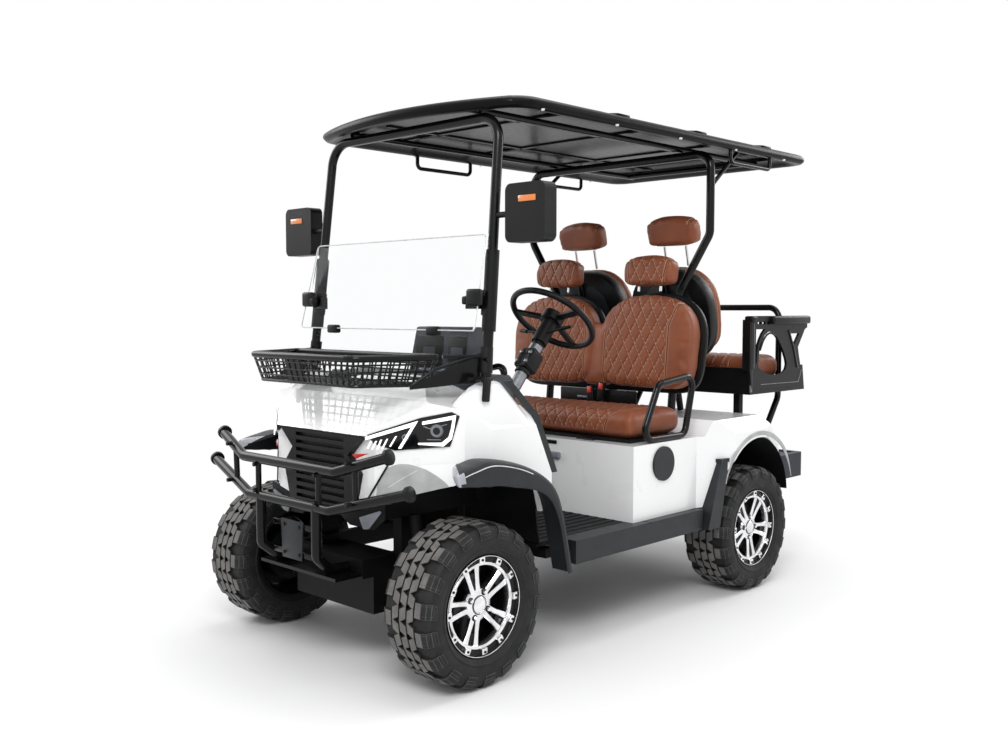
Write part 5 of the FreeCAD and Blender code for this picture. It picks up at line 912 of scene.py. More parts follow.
# headlamps: bands and slashes laid on the slanted facet, in millimetres along it and up
facetRun = Vector((0.306, 0.230)).normalized()
facetCorner = (0.254, -0.225)


def onFacet(hand, u, z, out):
    x = facetCorner[0] + u / 1000 * facetRun.x + out * facetRun.y
    station = facetCorner[1] + u / 1000 * facetRun.y - out * facetRun.x
    return spot(hand * x, station, z / 1000)


def facetLoop(hand, outline, out):
    return [onFacet(hand, u, z, out) for u, z in outline]


def facetNormal(hand):
    return Vector((hand * facetRun.y, -facetRun.x, 0))


lampLook = {
    "band": [(29, 869), (220.5, 929), (160, 830), (148, 830), (196, 907), (31, 858)],
    "hook": [(235, 926), (356, 951), (349, 905), (340, 866), (311, 840), (220, 845), (220, 851), (304, 853),
             (329, 874), (338, 905), (343, 935), (235, 915)],
    "slashes": [((51, 854), (38, 828)), ((69, 855), (55, 826)), ((87, 860), (74, 826)), ((109, 863), (92, 829)),
                ((141, 873), (119, 836))],
    "reflector": [(-23, 805), (41, 809), (-8, 789)],
    "proud": 0.0135,
}


def makeLamps():
    for hand, side in bothSides:
        shape = bmesh.new()
        normal = facetNormal(hand)
        for outline in (lampLook["band"], lampLook["hook"]):
            addPlate(shape, facetLoop(hand, outline, lampLook["proud"]), normal * 0.003)
        for top, foot in lampLook["slashes"]:
            outline = [(top[0] - 3, top[1]), (top[0] + 3.5, top[1] + 1), (foot[0] + 3, foot[1]),
                       (foot[0] - 3.5, foot[1])]
            addPlate(shape, facetLoop(hand, outline, lampLook["proud"]), normal * 0.002)
        closeShape(f"day_light_{side}", shape, "dayLight", "chassis", 30)
        # the reflector takes the glowing red finish: painted glow, it is no lamp
        shape = bmesh.new()
        addPlate(shape, facetLoop(hand, lampLook["reflector"], 0.0), normal * 0.004)
        closeShape(f"corner_reflector_{side}", shape, "red", "chassis", 30)


makeLamps()


# basket of crossing bars under a thick rim
basketLook = {
    "rim": 0.0125, "rows": (1.124, 1.098, 1.072, 1.050), "pitch": 0.038, "bar": 0.0034, "rimHigh": 1.1475,
    "floorHigh": 1.047, "corners": [(-0.310, -0.298), (0.310, -0.298), (0.440, 0.0), (-0.440, 0.0)], "taper": 0.026,
    "along": 9, "across": 17, "panel": (0.34, 0.52), "footBar": 1.9,
}


def makeBasket():
    look = basketLook
    shape = bmesh.new()

    def loopAt(high):
        inset = look["taper"] * ((look["rimHigh"] - high) / (look["rimHigh"] - look["floorHigh"]))
        return [spot(x - math.copysign(inset, x), y + (inset if y < -0.1 else -inset), high)
                for x, y in look["corners"]]

    addTube(shape, loopAt(look["rimHigh"]), look["rim"], 0.035, True)
    for high in look["rows"]:
        thick = look["footBar"] if high == look["rows"][-1] else 1.0
        addTube(shape, loopAt(high), look["bar"] * thick, 0.02, True, sides=2)
    top, foot = loopAt(look["rimHigh"] - 0.004), loopAt(look["rows"][-1])
    for index in range(4):
        a, b, c, d = top[index], top[(index + 1) % 4], foot[index], foot[(index + 1) % 4]
        count = round((b - a).length / look["pitch"])
        for step in range(count + 1):
            t = 0.03 + 0.94 * step / count
            addRod(shape, a.lerp(b, t), c.lerp(d, t), look["bar"], 6)
    for count, (a, b, c, d) in ((look["along"], (0, 3, 1, 2)), (look["across"], (0, 1, 3, 2))):
        for step in range(1, count):
            addRod(shape, foot[a].lerp(foot[b], step / count), foot[c].lerp(foot[d], step / count), look["bar"], 6)
    near, far = look["panel"]
    panel = [top[0].lerp(top[1], near), top[0].lerp(top[1], far), foot[0].lerp(foot[1], far),
             foot[0].lerp(foot[1], near)]
    addPlate(shape, panel, Vector((0, 0.003, 0)))
    closeShape("basket_bars", shape, "steel", "chassis", 35, ("front_basket",))


makeBasket()
print("front made")


# smooth line through a few chosen places
def smoothLine(places, count):
    places = [Vector(p) for p in places]
    ends = [2 * places[0] - places[1]] + places + [2 * places[-1] - places[-2]]
    line = []
    for index in range(count):
        t = index / (count - 1) * (len(places) - 1)
        first = min(int(t), len(places) - 2)
        t -= first
        a, b, c, d = ends[first:first + 4]
        line.append(0.5 * (2 * b + (c - a) * t + (2 * a - 5 * b + 4 * c - d) * t * t
                           + (3 * b - a - 3 * c + d) * t ** 3))
    return line


# flares over the front wheels: brow, upright face, rounded tip with a painted highlight on its top, a pale line of
# painted highlight along the brow edge, and the plates of the well behind them
flareLook = {
    "path": [(-0.138, 0.769), (-0.065, 0.786), (0.035, 0.799), (0.180, 0.768), (0.300, 0.712), (0.372, 0.640),
             (0.415, 0.520), (0.458, 0.334)],
    "inner": 0.587, "outer": 0.684, "tip": 0.026, "tipTurns": (84, 66, 45, 24), "sweep": 0.075, "steps": 44,
    "face": [(0.0, 0.050), (0.10, 0.066), (0.25, 0.092), (0.42, 0.086), (0.58, 0.060), (0.85, 0.030), (1.0, 0.030)],
    "edge": {"radius": 0.0020, "first": 6, "last": 26},
    "wellSide": {"size": (0.005, 0.504, 0.216), "place": (0.2945, 0.071, 0.668)},
    "wellTop": [(0.292, -0.181), (0.305, -0.179), (0.550, 0.012), (0.574, 0.075), (0.574, 0.323), (0.292, 0.323)],
    "wellHigh": 0.7765,
}


def faceAt(share):
    for (a, low), (b, high) in zip(flareLook["face"], flareLook["face"][1:]):
        if share <= b:
            return low + (high - low) * (share - a) / (b - a)
    return flareLook["face"][-1][1]


def flareSection(centre, along, face, hand, scale=1.0, ahead=0.0, sweep=0.0):
    inward = Vector((along.y, -along.x))
    span = flareLook["outer"] - flareLook["inner"]
    profile = [(0.0, 0.002), (0.30, 0.0), (0.62, -0.001), (0.84, 0.001), (0.93, 0.0035), (0.985, 0.010), (1.0, 0.019),
               (0.995, face * 0.72), (0.975, face - 0.004), (0.94, face), (0.90, face - 0.003), (0.885, face - 0.014),
               (0.87, 0.024), (0.80, 0.017), (0.40, 0.015), (0.0, 0.015)]
    ring = []
    for share, depth in profile:
        share = 0.42 + (share - 0.42) * scale
        depth = face * 0.42 + (depth - face * 0.42) * scale
        place = centre + inward * depth - along * ahead + along * sweep * max(1 - share, 0.0)
        ring.append(spot(hand * (flareLook["inner"] + share * span), place.x, place.y))
    return ring


def makeFlare(hand, side):
    line = smoothLine([(a, b, 0) for a, b in flareLook["path"]], flareLook["steps"])
    line = [Vector((p.x, p.y)) for p in line]
    rings = []
    for index, centre in enumerate(line):
        along = (line[min(index + 1, len(line) - 1)] - line[max(index - 1, 0)]).normalized()
        share = index / (len(line) - 1)
        face = faceAt(share)
        sweep = flareLook["sweep"] * (1 - ramp(share, 0.0, 0.2))
        for angle in flareLook["tipTurns"] if index == 0 else ():
            turn = math.radians(angle)
            rings.append(flareSection(centre, along, face, hand, math.cos(turn), flareLook["tip"] * math.sin(turn),
                                      sweep))
        rings.append(flareSection(centre, along, face, hand, 1.0, 0.0, sweep))
    shape = bmesh.new()
    # painted highlight: the top faces of the tip take the bright finish
    addLoft(shape, rings, lambda index, a: 1 if (index < 4 and a < 8) or (index < 6 and 4 <= a < 7) else 0)
    # painted highlight: a thin pale line along the brow edge
    edge = flareLook["edge"]
    addTube(shape, [ring[6] for ring in rings[edge["first"]:edge["last"]]], edge["radius"], 0.004, slot=2, sides=2)
    closeShape(f"flare_look_{side}", shape, ("slate", "paintedTipHighlight", "lip"), "chassis", 32,
               ("flares",) if hand > 0 else ())
    shape = bmesh.new()
    x, station, high = flareLook["wellSide"]["place"]
    addBlock(shape, flareLook["wellSide"]["size"], placeAt(hand * x, station, high), 0.0015, 1)
    addPlate(shape, [spot(hand * x, y, flareLook["wellHigh"]) for x, y in flareLook["wellTop"]], Vector((0, 0, 0.003)))
    closeShape(f"front_liner_{side}", shape, "frame", "chassis", 30)


for hand, side in bothSides:
    makeFlare(hand, side)


# white corner under each headlamp, with an arched grey panel of painted shade where the lip turns in, a pale crease
# line of painted highlight, and a dark strip
cheekLook = {
    "skin": [(56, 787), (384, 787), (388, 742), (374, 714), (345, 697), (300, 690), (219, 668), (132, 643), (56, 632)],
    "panel": [(62, 646), (70, 700), (86, 736), (108, 759), (130, 768), (151, 773), (186, 772), (220, 763), (246, 754),
              (266, 743), (286, 731), (302, 719), (318, 706), (328, 694), (300, 688), (219, 668), (132, 645)],
    "crease": [(107, 689), (160, 724), (212, 752), (214, 749), (162, 720), (110, 686)],
    "strip": [(104, 768), (111, 767), (38, 644), (30, 645)],
    # panel: painted shade on the inturned lip; crease: pale line of painted highlight
    "layers": {"skin": ("paint", -0.007, 0.006, 0.001), "panel": ("cheek", -0.001, 0.0025, 0.001),
               "crease": ("lip", 0.0015, 0.0012, 0.0004), "strip": ("black", 0.0015, 0.005, 0.001)},
    "fin": [(0.213, 0.567), (0.330, 0.606), (0.338, 0.600), (0.267, 0.531), (0.236, 0.527)],
    "finStation": -0.194,
}


def makeCheeks():
    for hand, side in bothSides:
        for part, (finish, out, thick, bevel) in cheekLook["layers"].items():
            shape = bmesh.new()
            addPlate(shape, facetLoop(hand, cheekLook[part], out), facetNormal(hand) * thick, 0, bevel)
            closeShape(f"cheek_{part}_{side}", shape, finish, "chassis", 30)
        shape = bmesh.new()
        addPlate(shape, [spot(hand * x, cheekLook["finStation"], z) for x, z in cheekLook["fin"]],
                 Vector((0, 0.006, 0)), 0, 0.0015)
        closeShape(f"nose_fin_{side}", shape, "fin", "chassis", 30)


makeCheeks()


# guard: round end caps, bolts, a bare plate between the legs
guardLook = {
    "station": -0.348,
    "bars": (((0.258, 0.0, 0.759), (0.516, 0.048, 0.828)), ((0.286, 0.0, 0.619), (0.603, 0.064, 0.712))),
    "caps": ((-0.010, 0.003, 0.0275, 28, None), (0.003, 0.0065, 0.0275, 28, 0.021),
             (0.0065, 0.0085, 0.011, 18, 0.008)),
    "bolts": ((0.190, 0.640), (0.190, 0.738), (0.375, 0.800), (0.375, 0.658)),
    "plate": [(-0.070, 0.548), (0.070, 0.548), (0.061, 0.404), (-0.061, 0.404)],
    "crossbars": (0.528, 0.424), "crossbar": (0.262, 0.010, 0.020), "plateBolt": 0.047,
}


def makeGuardBits():
    shape = bmesh.new()
    face = guardLook["station"]
    for hand in (1, -1):
        for inner, outer in guardLook["bars"]:
            a, b = (spot(hand * x, face + back, high) for x, back, high in (inner, outer))
            run = (b - a).normalized()
            for start, end, radius, sides, other in guardLook["caps"]:
                addRod(shape, b + run * start, b + run * end, radius, sides, other)
        for x, high in guardLook["bolts"]:
            place = spot(hand * x, face - 0.004, high)
            addRod(shape, place, place + Vector((0, -0.024, 0)), 0.008, 6)
    closeShape("guard_caps", shape, "black", "chassis", 30)
    shape = bmesh.new()
    addPlate(shape, [spot(x, face + 0.010, z) for x, z in guardLook["plate"]], Vector((0, 0.006, 0)), 0, 0.0018)
    for high in guardLook["crossbars"]:
        addBlock(shape, guardLook["crossbar"], placeAt(0, face + 0.022, high), 0.002, 2, 1)
        for x in (-guardLook["plateBolt"], guardLook["plateBolt"]):
            addRod(shape, spot(x, face + 0.011, high), spot(x, face + 0.005, high), 0.0065, 6, slot=1)
    closeShape("guard_plate", shape, ("slate", "steel"), "chassis", 30)


makeGuardBits()


# black liner of each rear wheel arch, with its inner wall
linerLook = {"station": 1.800, "high": 0.420, "radius": 0.2985, "grow": 1.010, "from": 4, "sweep": 172, "steps": 36,
             "inner": 0.402, "outer": 0.664, "wall": 0.399}


def makeRearLiners():
    centre, high, radius, steps = (linerLook[key] for key in ("station", "high", "radius", "steps"))
    for hand, side in bothSides:
        shape = bmesh.new()
        angles = [math.radians(linerLook["from"] + linerLook["sweep"] * index / steps) for index in range(steps + 1)]
        arc = [(centre - radius * math.cos(angle), high + radius * math.sin(angle)) for angle in angles]
        rings = []
        for s, z in arc:
            outer = (centre + (s - centre) * linerLook["grow"], high + (z - high) * linerLook["grow"])
            corners = ((linerLook["inner"], (s, z)), (linerLook["outer"], (s, z)), (linerLook["outer"], outer),
                       (linerLook["inner"], outer))
            rings.append([spot(hand * x, *place) for x, place in corners])
        addLoft(shape, rings)
        addPlate(shape, [spot(hand * linerLook["wall"], s, z) for s, z in arc], Vector((hand * 0.003, 0, 0)))
        closeShape(f"rear_liner_{side}", shape, "frame", "chassis", 30)


makeRearLiners()


# light edge of the upper pane, clips and grips on the posts, amber lamps on the mirrors
screenLook = {
    "pane": [(-0.530, 0.085, 1.243), (0.530, 0.085, 1.243), (0.509, 0.164, 1.590), (-0.509, 0.164, 1.590)],
    "clips": (((0.062, 0.034, 0.062), (0.505, 0.108, 1.362), 0.010, 3),
              ((0.030, 0.028, 0.030), (0.468, 0.106, 1.352), 0.006, 2),
              ((0.060, 0.030, 0.034), (0.306, 0.090, 1.240), 0.007, 2)),
    "post": ((0.530, 0.136, 0.985), (0.470, 0.242, 2.031)), "grips": ((0.10, 0.19), (0.30, 0.385)), "grip": 0.0245,
    "lamp": ((0.082, 0.006, 0.022), (0.694, 0.1805, 1.708)),
}


def makeScreenBits():
    shape = bmesh.new()
    addTube(shape, spots(screenLook["pane"]), 0.0024, 0.02, True, sides=2)
    closeShape("pane_edges", shape, "paneEdge", "chassis", 40)
    shape = bmesh.new()
    for hand in (1, -1):
        for size, (x, station, high), bevel, steps in screenLook["clips"]:
            addBlock(shape, size, placeAt(hand * x, station, high), bevel, steps)
        foot, head = spots(screenLook["post"], hand)
        for low, high in screenLook["grips"]:
            addRod(shape, foot.lerp(head, low), foot.lerp(head, high), screenLook["grip"], 24)
    closeShape("screen_clips", shape, "black", "chassis", 30)
    shape = bmesh.new()
    size, (x, station, high) = screenLook["lamp"]
    for hand in (1, -1):
        addBlock(shape, size, placeAt(hand * x, station, high), 0.0025, 2)
    closeShape("mirror_lamps", shape, "amber", "chassis", 30)


makeScreenBits()


# seat-belt buckles, dash loop, slot and ledge of the seat base, roof bolts
smallLook = {
    "buckles": ((0.045, 0.925, 8), (-0.020, 0.905, -6)), "buckleStation": 1.4125,
    "loop": [(0.291, 0.395, 1.045), (0.293, 0.400, 1.088), (0.335, 0.404, 1.104), (0.379, 0.400, 1.090),
             (0.381, 0.395, 1.045)],
    "ledge": (((0.080, 0.006, 0.016), (0.138, 0.934, 0.734), 0.002, 2, 1),
              ((0.112, 0.020, 0.028), (0.146, 0.929, 0.678), 0.006, 3, 0),
              ((0.080, 0.008, 0.030), (0.130, 0.933, 0.640), 0.003, 2, 2)),
    "bolts": (0.36, 0.80, 1.24, 1.68, 2.12), "boltOut": 0.607, "boltHigh": (2.050, 2.044),
}


def makeSmallBits():
    shape = bmesh.new()
    for x, high, turn in smallLook["buckles"]:
        place = placeAt(x, smallLook["buckleStation"], high) @ Matrix.Rotation(math.radians(turn), 4, "Y")
        addBlock(shape, (0.040, 0.018, 0.090), place, 0.006, 3, 0)
        # the red button takes the glowing red finish: painted glow, the buckle is no lamp
        addBlock(shape, (0.026, 0.008, 0.030), place @ Matrix.Translation((0, -0.007, 0.026)), 0.003, 2, 1)
    closeShape("belt_buckles", shape, ("black", "red"), "chassis", 30)
    shape = bmesh.new()
    addTube(shape, spots(smallLook["loop"]), 0.0085, 0.022)
    closeShape("dash_loop", shape, "steel", "chassis", 40)
    shape = bmesh.new()
    for size, place, bevel, steps, slot in smallLook["ledge"]:
        addBlock(shape, size, placeAt(*place), bevel, steps, slot)
    closeShape("base_ledge", shape, ("fin", "black", "cheek"), "chassis", 30)
    shape = bmesh.new()
    top, foot = smallLook["boltHigh"]
    for x in (smallLook["boltOut"], -smallLook["boltOut"]):
        for station in smallLook["bolts"]:
            addRod(shape, spot(x, station, top), spot(x, station, foot), 0.008, 16, 0.006)
    closeShape("roof_bolts", shape, "chrome", "chassis", 30)


makeSmallBits()


# roof with a thin round rim, a low crown, three ribs and a moulded underside; rings by inset and height
roofLook = {
    "half": 0.612, "bow": 0.118, "front": 0.232, "rear": 2.372, "corner": 0.075, "nose": 0.105, "noseTurn": 62,
    "side": 0.34,
    "rings": [(0.125, 2.089), (0.118, 2.074), (0.060, 2.066), (0.047, 2.055), (0.034, 2.048), (0.022, 2.046),
              (0.010, 2.049), (0.003, 2.057), (0.0, 2.067), (0.003, 2.078), (0.011, 2.087), (0.024, 2.0925),
              (0.045, 2.095), (0.062, 2.101), (0.11, 2.109), (0.20, 2.117), (0.32, 2.1225), (0.45, 2.1255),
              (0.58, 2.1262)],
    "ribs": (0.87, 1.43, 1.99), "rib": (0.90, 0.092, 0.026), "ribEnd": (0.11, 0.080, 0.014),
    "battens": (0.62, 1.15, 1.71), "batten": (0.94, 0.030, 0.010), "rails": (-0.24, 0.24),
    "rail": (0.026, 1.86, 0.010),
    "under": 2.0865,
}


def arcPlaces(x, station, radius, start, sweep, steps, first=0):
    turns = [math.radians(start + sweep * index / steps) for index in range(first, steps + 1)]
    return [(x + radius * math.cos(turn), station + radius * math.sin(turn)) for turn in turns]


def roofOutline():
    half, front, rear, corner = roofLook["half"], roofLook["front"], roofLook["rear"], roofLook["corner"]
    nose, turn, side = roofLook["nose"], roofLook["noseTurn"], roofLook["side"]
    bow = half - 0.050
    loop = []
    for index in range(33):
        x = -bow + 2 * bow * index / 32
        loop.append((x, roofLook["bow"] + (front - roofLook["bow"]) * (abs(x) / bow) ** 2.0))
    loop += arcPlaces(half - nose, front + 0.093, nose, -turn, turn, 7, 1)
    loop += [(half, side + (rear - corner - side) * index / 12) for index in range(1, 12)]
    loop += arcPlaces(half - corner, rear - corner, corner, 0, 90, 8)
    loop += [(half - corner - 2 * (half - corner) * index / 12, rear) for index in range(1, 12)]
    loop += arcPlaces(corner - half, rear - corner, corner, 90, 90, 8)
    loop += [(-half, rear - corner - (rear - corner - side) * index / 12) for index in range(1, 12)]
    return loop + arcPlaces(nose - half, front + 0.093, nose, 180, turn, 7)[:-1]


def makeRoof():
    shape = bmesh.new()
    middle = (roofLook["bow"] + roofLook["rear"]) / 2
    reach = (roofLook["rear"] - roofLook["bow"]) / 2
    addLoft(shape, [[spot(x * (1 - inset / roofLook["half"]), middle + (y - middle) * (1 - inset / reach), high)
                     for x, y in roofOutline()] for inset, high in roofLook["rings"]])
    for station in roofLook["ribs"]:
        addBlock(shape, roofLook["rib"], placeAt(0, station, 2.1235), 0.007, 3)
        for hand in (1, -1):
            place = placeAt(hand * 0.535, station, 2.1015) @ Matrix.Rotation(hand * 0.13, 4, "Y")
            addBlock(shape, roofLook["ribEnd"], place, 0.005, 2)
    for station in roofLook["battens"]:
        addBlock(shape, roofLook["batten"], placeAt(0, station, roofLook["under"]), 0.003, 2)
    for x in roofLook["rails"]:
        addBlock(shape, roofLook["rail"], placeAt(x, 1.26, roofLook["under"]), 0.003, 2)
    closeShape("roof_look", shape, "roof", "chassis", 38, ("roof",))


makeRoof()


# plates from the posts down beside the basket, with their bars and bolts
bracketLook = {
    "plate": [(0.511, 0.130, 1.160), (0.511, 0.130, 1.056), (0.404, -0.112, 1.036), (0.404, -0.112, 1.050)],
    "thick": (-0.0045, 0.002), "brace": [(0.512, 0.134, 1.158), (0.44, -0.03, 1.105), (0.408, -0.104, 1.052)],
    "arm": [(0.516, 0.140, 1.150), (0.440, 0.012, 1.150)],
    "bolts": (((0.528, 0.133, 1.052), (0.557, 0.133, 1.052), 0.0095),
              ((0.528, 0.133, 1.140), (0.550, 0.133, 1.140), 0.0075)),
}


def makeBracketPlates():
    shape = bmesh.new()
    for hand in (1, -1):
        out, back = bracketLook["thick"]
        addPlate(shape, spots(bracketLook["plate"], hand), Vector((hand * out, back, 0)), 0, 0.001)
        addTube(shape, spots(bracketLook["brace"], hand), 0.0062, 0.01)
        addTube(shape, spots(bracketLook["arm"], hand), 0.0075, 0.01)
        for start, end, radius in bracketLook["bolts"]:
            addRod(shape, *spots((start, end), hand), radius, 6)
    closeShape("bracket_look", shape, "steel", "chassis", 35, ("basket_brackets",))


makeBracketPlates()


# dash shelf with sloping ends and a hump with framed screens on both faces
dashLook = {
    "half": 0.405, "end": (0.402, 0.097),
    "shelf": [(0.205, 0.957), (0.205, 1.046), (0.226, 1.066), (0.398, 1.066), (0.419, 1.045), (0.419, 0.934),
              (0.331, 0.934)],
    "ends": [(0.205, 0.957), (0.205, 1.044), (0.222, 1.061), (0.250, 1.058), (0.318, 1.000), (0.366, 0.934),
             (0.331, 0.934)],
    "foot": [(-0.070, 0.286), (0.310, 0.286), (0.310, 0.400), (-0.070, 0.400)],
    "head": [(-0.036, 0.303), (0.276, 0.303), (0.276, 0.383), (-0.036, 0.383)], "humpHigh": (1.054, 1.250),
    "faces": ((0.289, 0.086, -1), (0.3955, -0.086, 1)),
    "frames": ((0.055, 0.165, 1.150, 0.130, 1), (0.218, 0.105, 1.150, 0.130, 1), (0.12, 0.290, 1.078, 0.010, 2)),
    "knob": ((0.268, 0.292, 1.105), (0.268, 0.276, 1.104)),
}


def makeDash():
    shape = bmesh.new()
    addPlate(shape, [spot(-dashLook["half"], y, z) for y, z in dashLook["shelf"]],
             Vector((2 * dashLook["half"], 0, 0)), 0, 0.005)
    start, wide = dashLook["end"]
    for hand in (1, -1):
        addPlate(shape, [spot(hand * start, y, z) for y, z in dashLook["ends"]], Vector((hand * wide, 0, 0)), 0, 0.004)
    low, high = dashLook["humpHigh"]
    hump = addLoft(shape, [[spot(x, y, z) for x, y in dashLook[part]] for part, z in (("foot", low), ("head", high))])
    bevelFaces(shape, hump, 0.010, 3)
    for face, lean, out in dashLook["faces"]:
        def onHump(x, high, proud):
            place = placeAt(x, face + lean * (high - 1.07) + out * proud, high)
            return place @ Matrix.Rotation(-lean, 4, "X")

        for x, wide, high, tall, slot in dashLook["frames"]:
            addBlock(shape, (wide, 0.006, tall), onHump(x, high, 0.0005), 0.002, 2, slot)
        for x, wide, high, tall, slot in dashLook["frames"][:2]:
            addBlock(shape, (0.070, 0.004, 0.040), onHump(x, high, 0.003), 0.002, 2, 0)
    # the knob takes the glowing red finish: painted glow, it is no lamp
    addRod(shape, *spots(dashLook["knob"]), 0.012, 20, 0.010, slot=3)
    closeShape("dash_look", shape, ("dash", "black", "fin", "red"), "chassis", 32, ("dashboard",))


makeDash()


# stalks under the steering wheel; frame below the seat back; lenses and bright lines in the lamps
cabinLook = {
    "wheelX": 0.290, "stalks": ((1, 0.135), (-1, 0.120)), "stalkFoot": (0.020, 0.712, 1.222),
    "stalkHead": (0.722, 1.238),
    "frame": [(-0.235, 0.862), (0.235, 0.862), (0.235, 0.934), (-0.235, 0.934)], "frameStation": 1.436,
    "latch": ((0.070, 0.010, 0.010), (-0.085, 1.433, 0.892)),
    "lenses": ((285, 893, 0.024), (172, 868, 0.013)),
    "lines": (((238, 908), (262, 900)), ((262, 900), (322, 917)), ((250, 862), (300, 862))), "lineOut": 0.008,
}


def makeCabinBits():
    shape = bmesh.new()
    wheelX, (out, station, high) = cabinLook["wheelX"], cabinLook["stalkFoot"]
    for hand, reach in cabinLook["stalks"]:
        start = spot(wheelX + hand * out, station, high)
        end = spot(wheelX + hand * reach, cabinLook["stalkHead"][0], cabinLook["stalkHead"][1] + 0.010 * hand)
        addRod(shape, start, end, 0.0055, 12, 0.0045)
        addRod(shape, start.lerp(end, 0.72), end + (end - start).normalized() * 0.012, 0.0085, 14, 0.0070)
    closeShape("column_stalks", shape, "black", "chassis", 35)
    shape = bmesh.new()
    addPlate(shape, [spot(x, cabinLook["frameStation"], z) for x, z in cabinLook["frame"]], Vector((0, 0.012, 0)), 0,
             0.004)
    size, place = cabinLook["latch"]
    addBlock(shape, size, placeAt(*place), 0.003, 2, 1)
    closeShape("back_frame", shape, ("black", "fin"), "chassis", 35)
    for hand, side in bothSides:
        shape = bmesh.new()
        normal = facetNormal(hand)
        for u, z, radius in cabinLook["lenses"]:
            centre = onFacet(hand, u, z, 0.004)
            addRod(shape, centre, centre + normal * 0.007, radius, 32, radius * 0.86, slot=1)
            addRod(shape, centre, centre + normal * 0.0085, radius * 0.78, 32, radius * 0.5)
        for line in cabinLook["lines"]:
            addTube(shape, facetLoop(hand, line, cabinLook["lineOut"]), 0.0016, 0.001, slot=1, sides=2)
        closeShape(f"lamp_lens_{side}", shape, ("lampDark", "fin"), "chassis", 35)


makeCabinBits()


# face with holes, pushed into a plate
def addCutPlate(shape, outer, holes, push):
    plate = bmesh.new()
    ends = []
    for shift in (Vector((0, 0, 0)), push):
        edges = []
        loops = []
        for loop in [outer] + holes:
            verts = [plate.verts.new(p + shift) for p in loop]
            edges += [plate.edges.new(pair) for pair in zip(verts, verts[1:] + verts[:1])]
            loops.append(verts)
        bmesh.ops.triangle_fill(plate, use_beauty=True, edges=edges)
        ends.append(loops)
    for near, far in zip(*ends):
        for a, b in zip(range(len(near)), list(range(1, len(near))) + [0]):
            plate.faces.new((near[a], near[b], far[b], far[a]))
    bmesh.ops.recalc_face_normals(plate, faces=plate.faces[:])
    addMesh(shape, takeMesh("cutPlate", plate), 0)


# rear armrests: moulded plate with an arch, round holes, raised ribs and a thick pad
armLook = {
    "outer": [(1.985, 0.926), (1.962, 1.030), (1.962, 1.262), (1.970, 1.280), (1.988, 1.288), (2.536, 1.288),
              (2.536, 1.226), (2.512, 1.218), (2.440, 1.125), (2.452, 1.080), (2.470, 1.028), (2.440, 0.926)],
    "arch": [(2.044, 1.034), (2.047, 1.090), (2.056, 1.130), (2.075, 1.165), (2.100, 1.192), (2.130, 1.207),
             (2.158, 1.211), (2.190, 1.203), (2.228, 1.176), (2.262, 1.142), (2.292, 1.106), (2.316, 1.068),
             (2.326, 1.040), (2.316, 1.016), (2.290, 0.998), (2.240, 0.990), (2.180, 0.990), (2.120, 1.002),
             (2.072, 1.020)],
    "gap": [(2.018, 1.222), (2.104, 1.222), (2.080, 1.203), (2.056, 1.174), (2.040, 1.146), (2.031, 1.110),
            (2.028, 1.060), (2.018, 1.050)],
    "heel": [(2.352, 1.196), (2.452, 1.196), (2.402, 1.138)],
    "holes": ((2.048, 1.253), (2.092, 1.253), (2.136, 1.253)), "hole": (0.016, 0.0085),
    "inner": 0.517, "thick": 0.013,
    "pads": (((0.058, 0.380, 0.040), (0.523, 2.346, 1.2665), 0.010, 3),
             ((0.050, 0.045, 0.030), (0.520, 1.984, 1.2730), 0.010, 3),
             ((0.046, 0.014, 0.250), (0.507, 1.971, 1.145), 0.004, 2)),
    "ribs": ([(2.056, 1.118), (2.084, 1.166), (2.120, 1.196), (2.158, 1.204), (2.206, 1.190)],
             [(2.336, 1.214), (2.392, 1.120), (2.430, 1.020)]), "ribOut": 0.5305,
    "lines": ([(2.000, 1.030), (1.998, 1.262), (2.030, 1.284)], [(2.066, 0.948), (2.446, 0.944), (2.478, 1.004)],
              [(2.350, 1.208), (2.404, 1.112), (2.444, 1.016)]), "lineOut": 0.5312,
    "pin": ((0.5235, 1.9865, 0.914), (0.5235, 1.9865, 1.024)),
}


def makeArms():
    for hand, side in bothSides:
        def onSide(places, out):
            return [spot(hand * out, s, z) for s, z in places]

        shape = bmesh.new()
        holes = [armLook["arch"], armLook["gap"], armLook["heel"]]
        wide, high = armLook["hole"]
        turns = [math.tau * k / 16 for k in range(16)]
        for s, z in armLook["holes"]:
            holes.append([(s + wide * math.cos(t), z + high * math.sin(t)) for t in turns])
        holes = [onSide(hole, armLook["inner"]) for hole in holes]
        addCutPlate(shape, onSide(armLook["outer"], armLook["inner"]), holes, Vector((hand * armLook["thick"], 0, 0)))
        for size, (x, station, high), bevel, steps in armLook["pads"]:
            addBlock(shape, size, placeAt(hand * x, station, high), bevel, steps)
        for rib in armLook["ribs"]:
            addTube(shape, onSide(rib, armLook["ribOut"]), 0.005, 0.02, sides=3)
        for line in armLook["lines"]:
            addTube(shape, onSide(line, armLook["lineOut"]), 0.0016, 0.012, slot=1, sides=2)
        addTube(shape, spots(armLook["pin"], hand), 0.0068, 0.01, slot=2, sides=3)
        closeShape(f"arm_look_{side}", shape, ("black", "fin", "fin"), "chassis", 34,
                   ("rear_arms",) if hand > 0 else ())


makeArms()


# smooth shells behind the seat backs, with a raised panel on the rear ones
shellLook = {
    "front": (0.284, 0.470), "rear": (0.232, 0.455), "panel": (0.150, 0.330), "low": (0.940, 1.105), "panelUp": 0.060,
    "bridge": ((-0.290, 0.0), (0.290, 0.0), (0.290, 0.340), (-0.290, 0.340)),
}


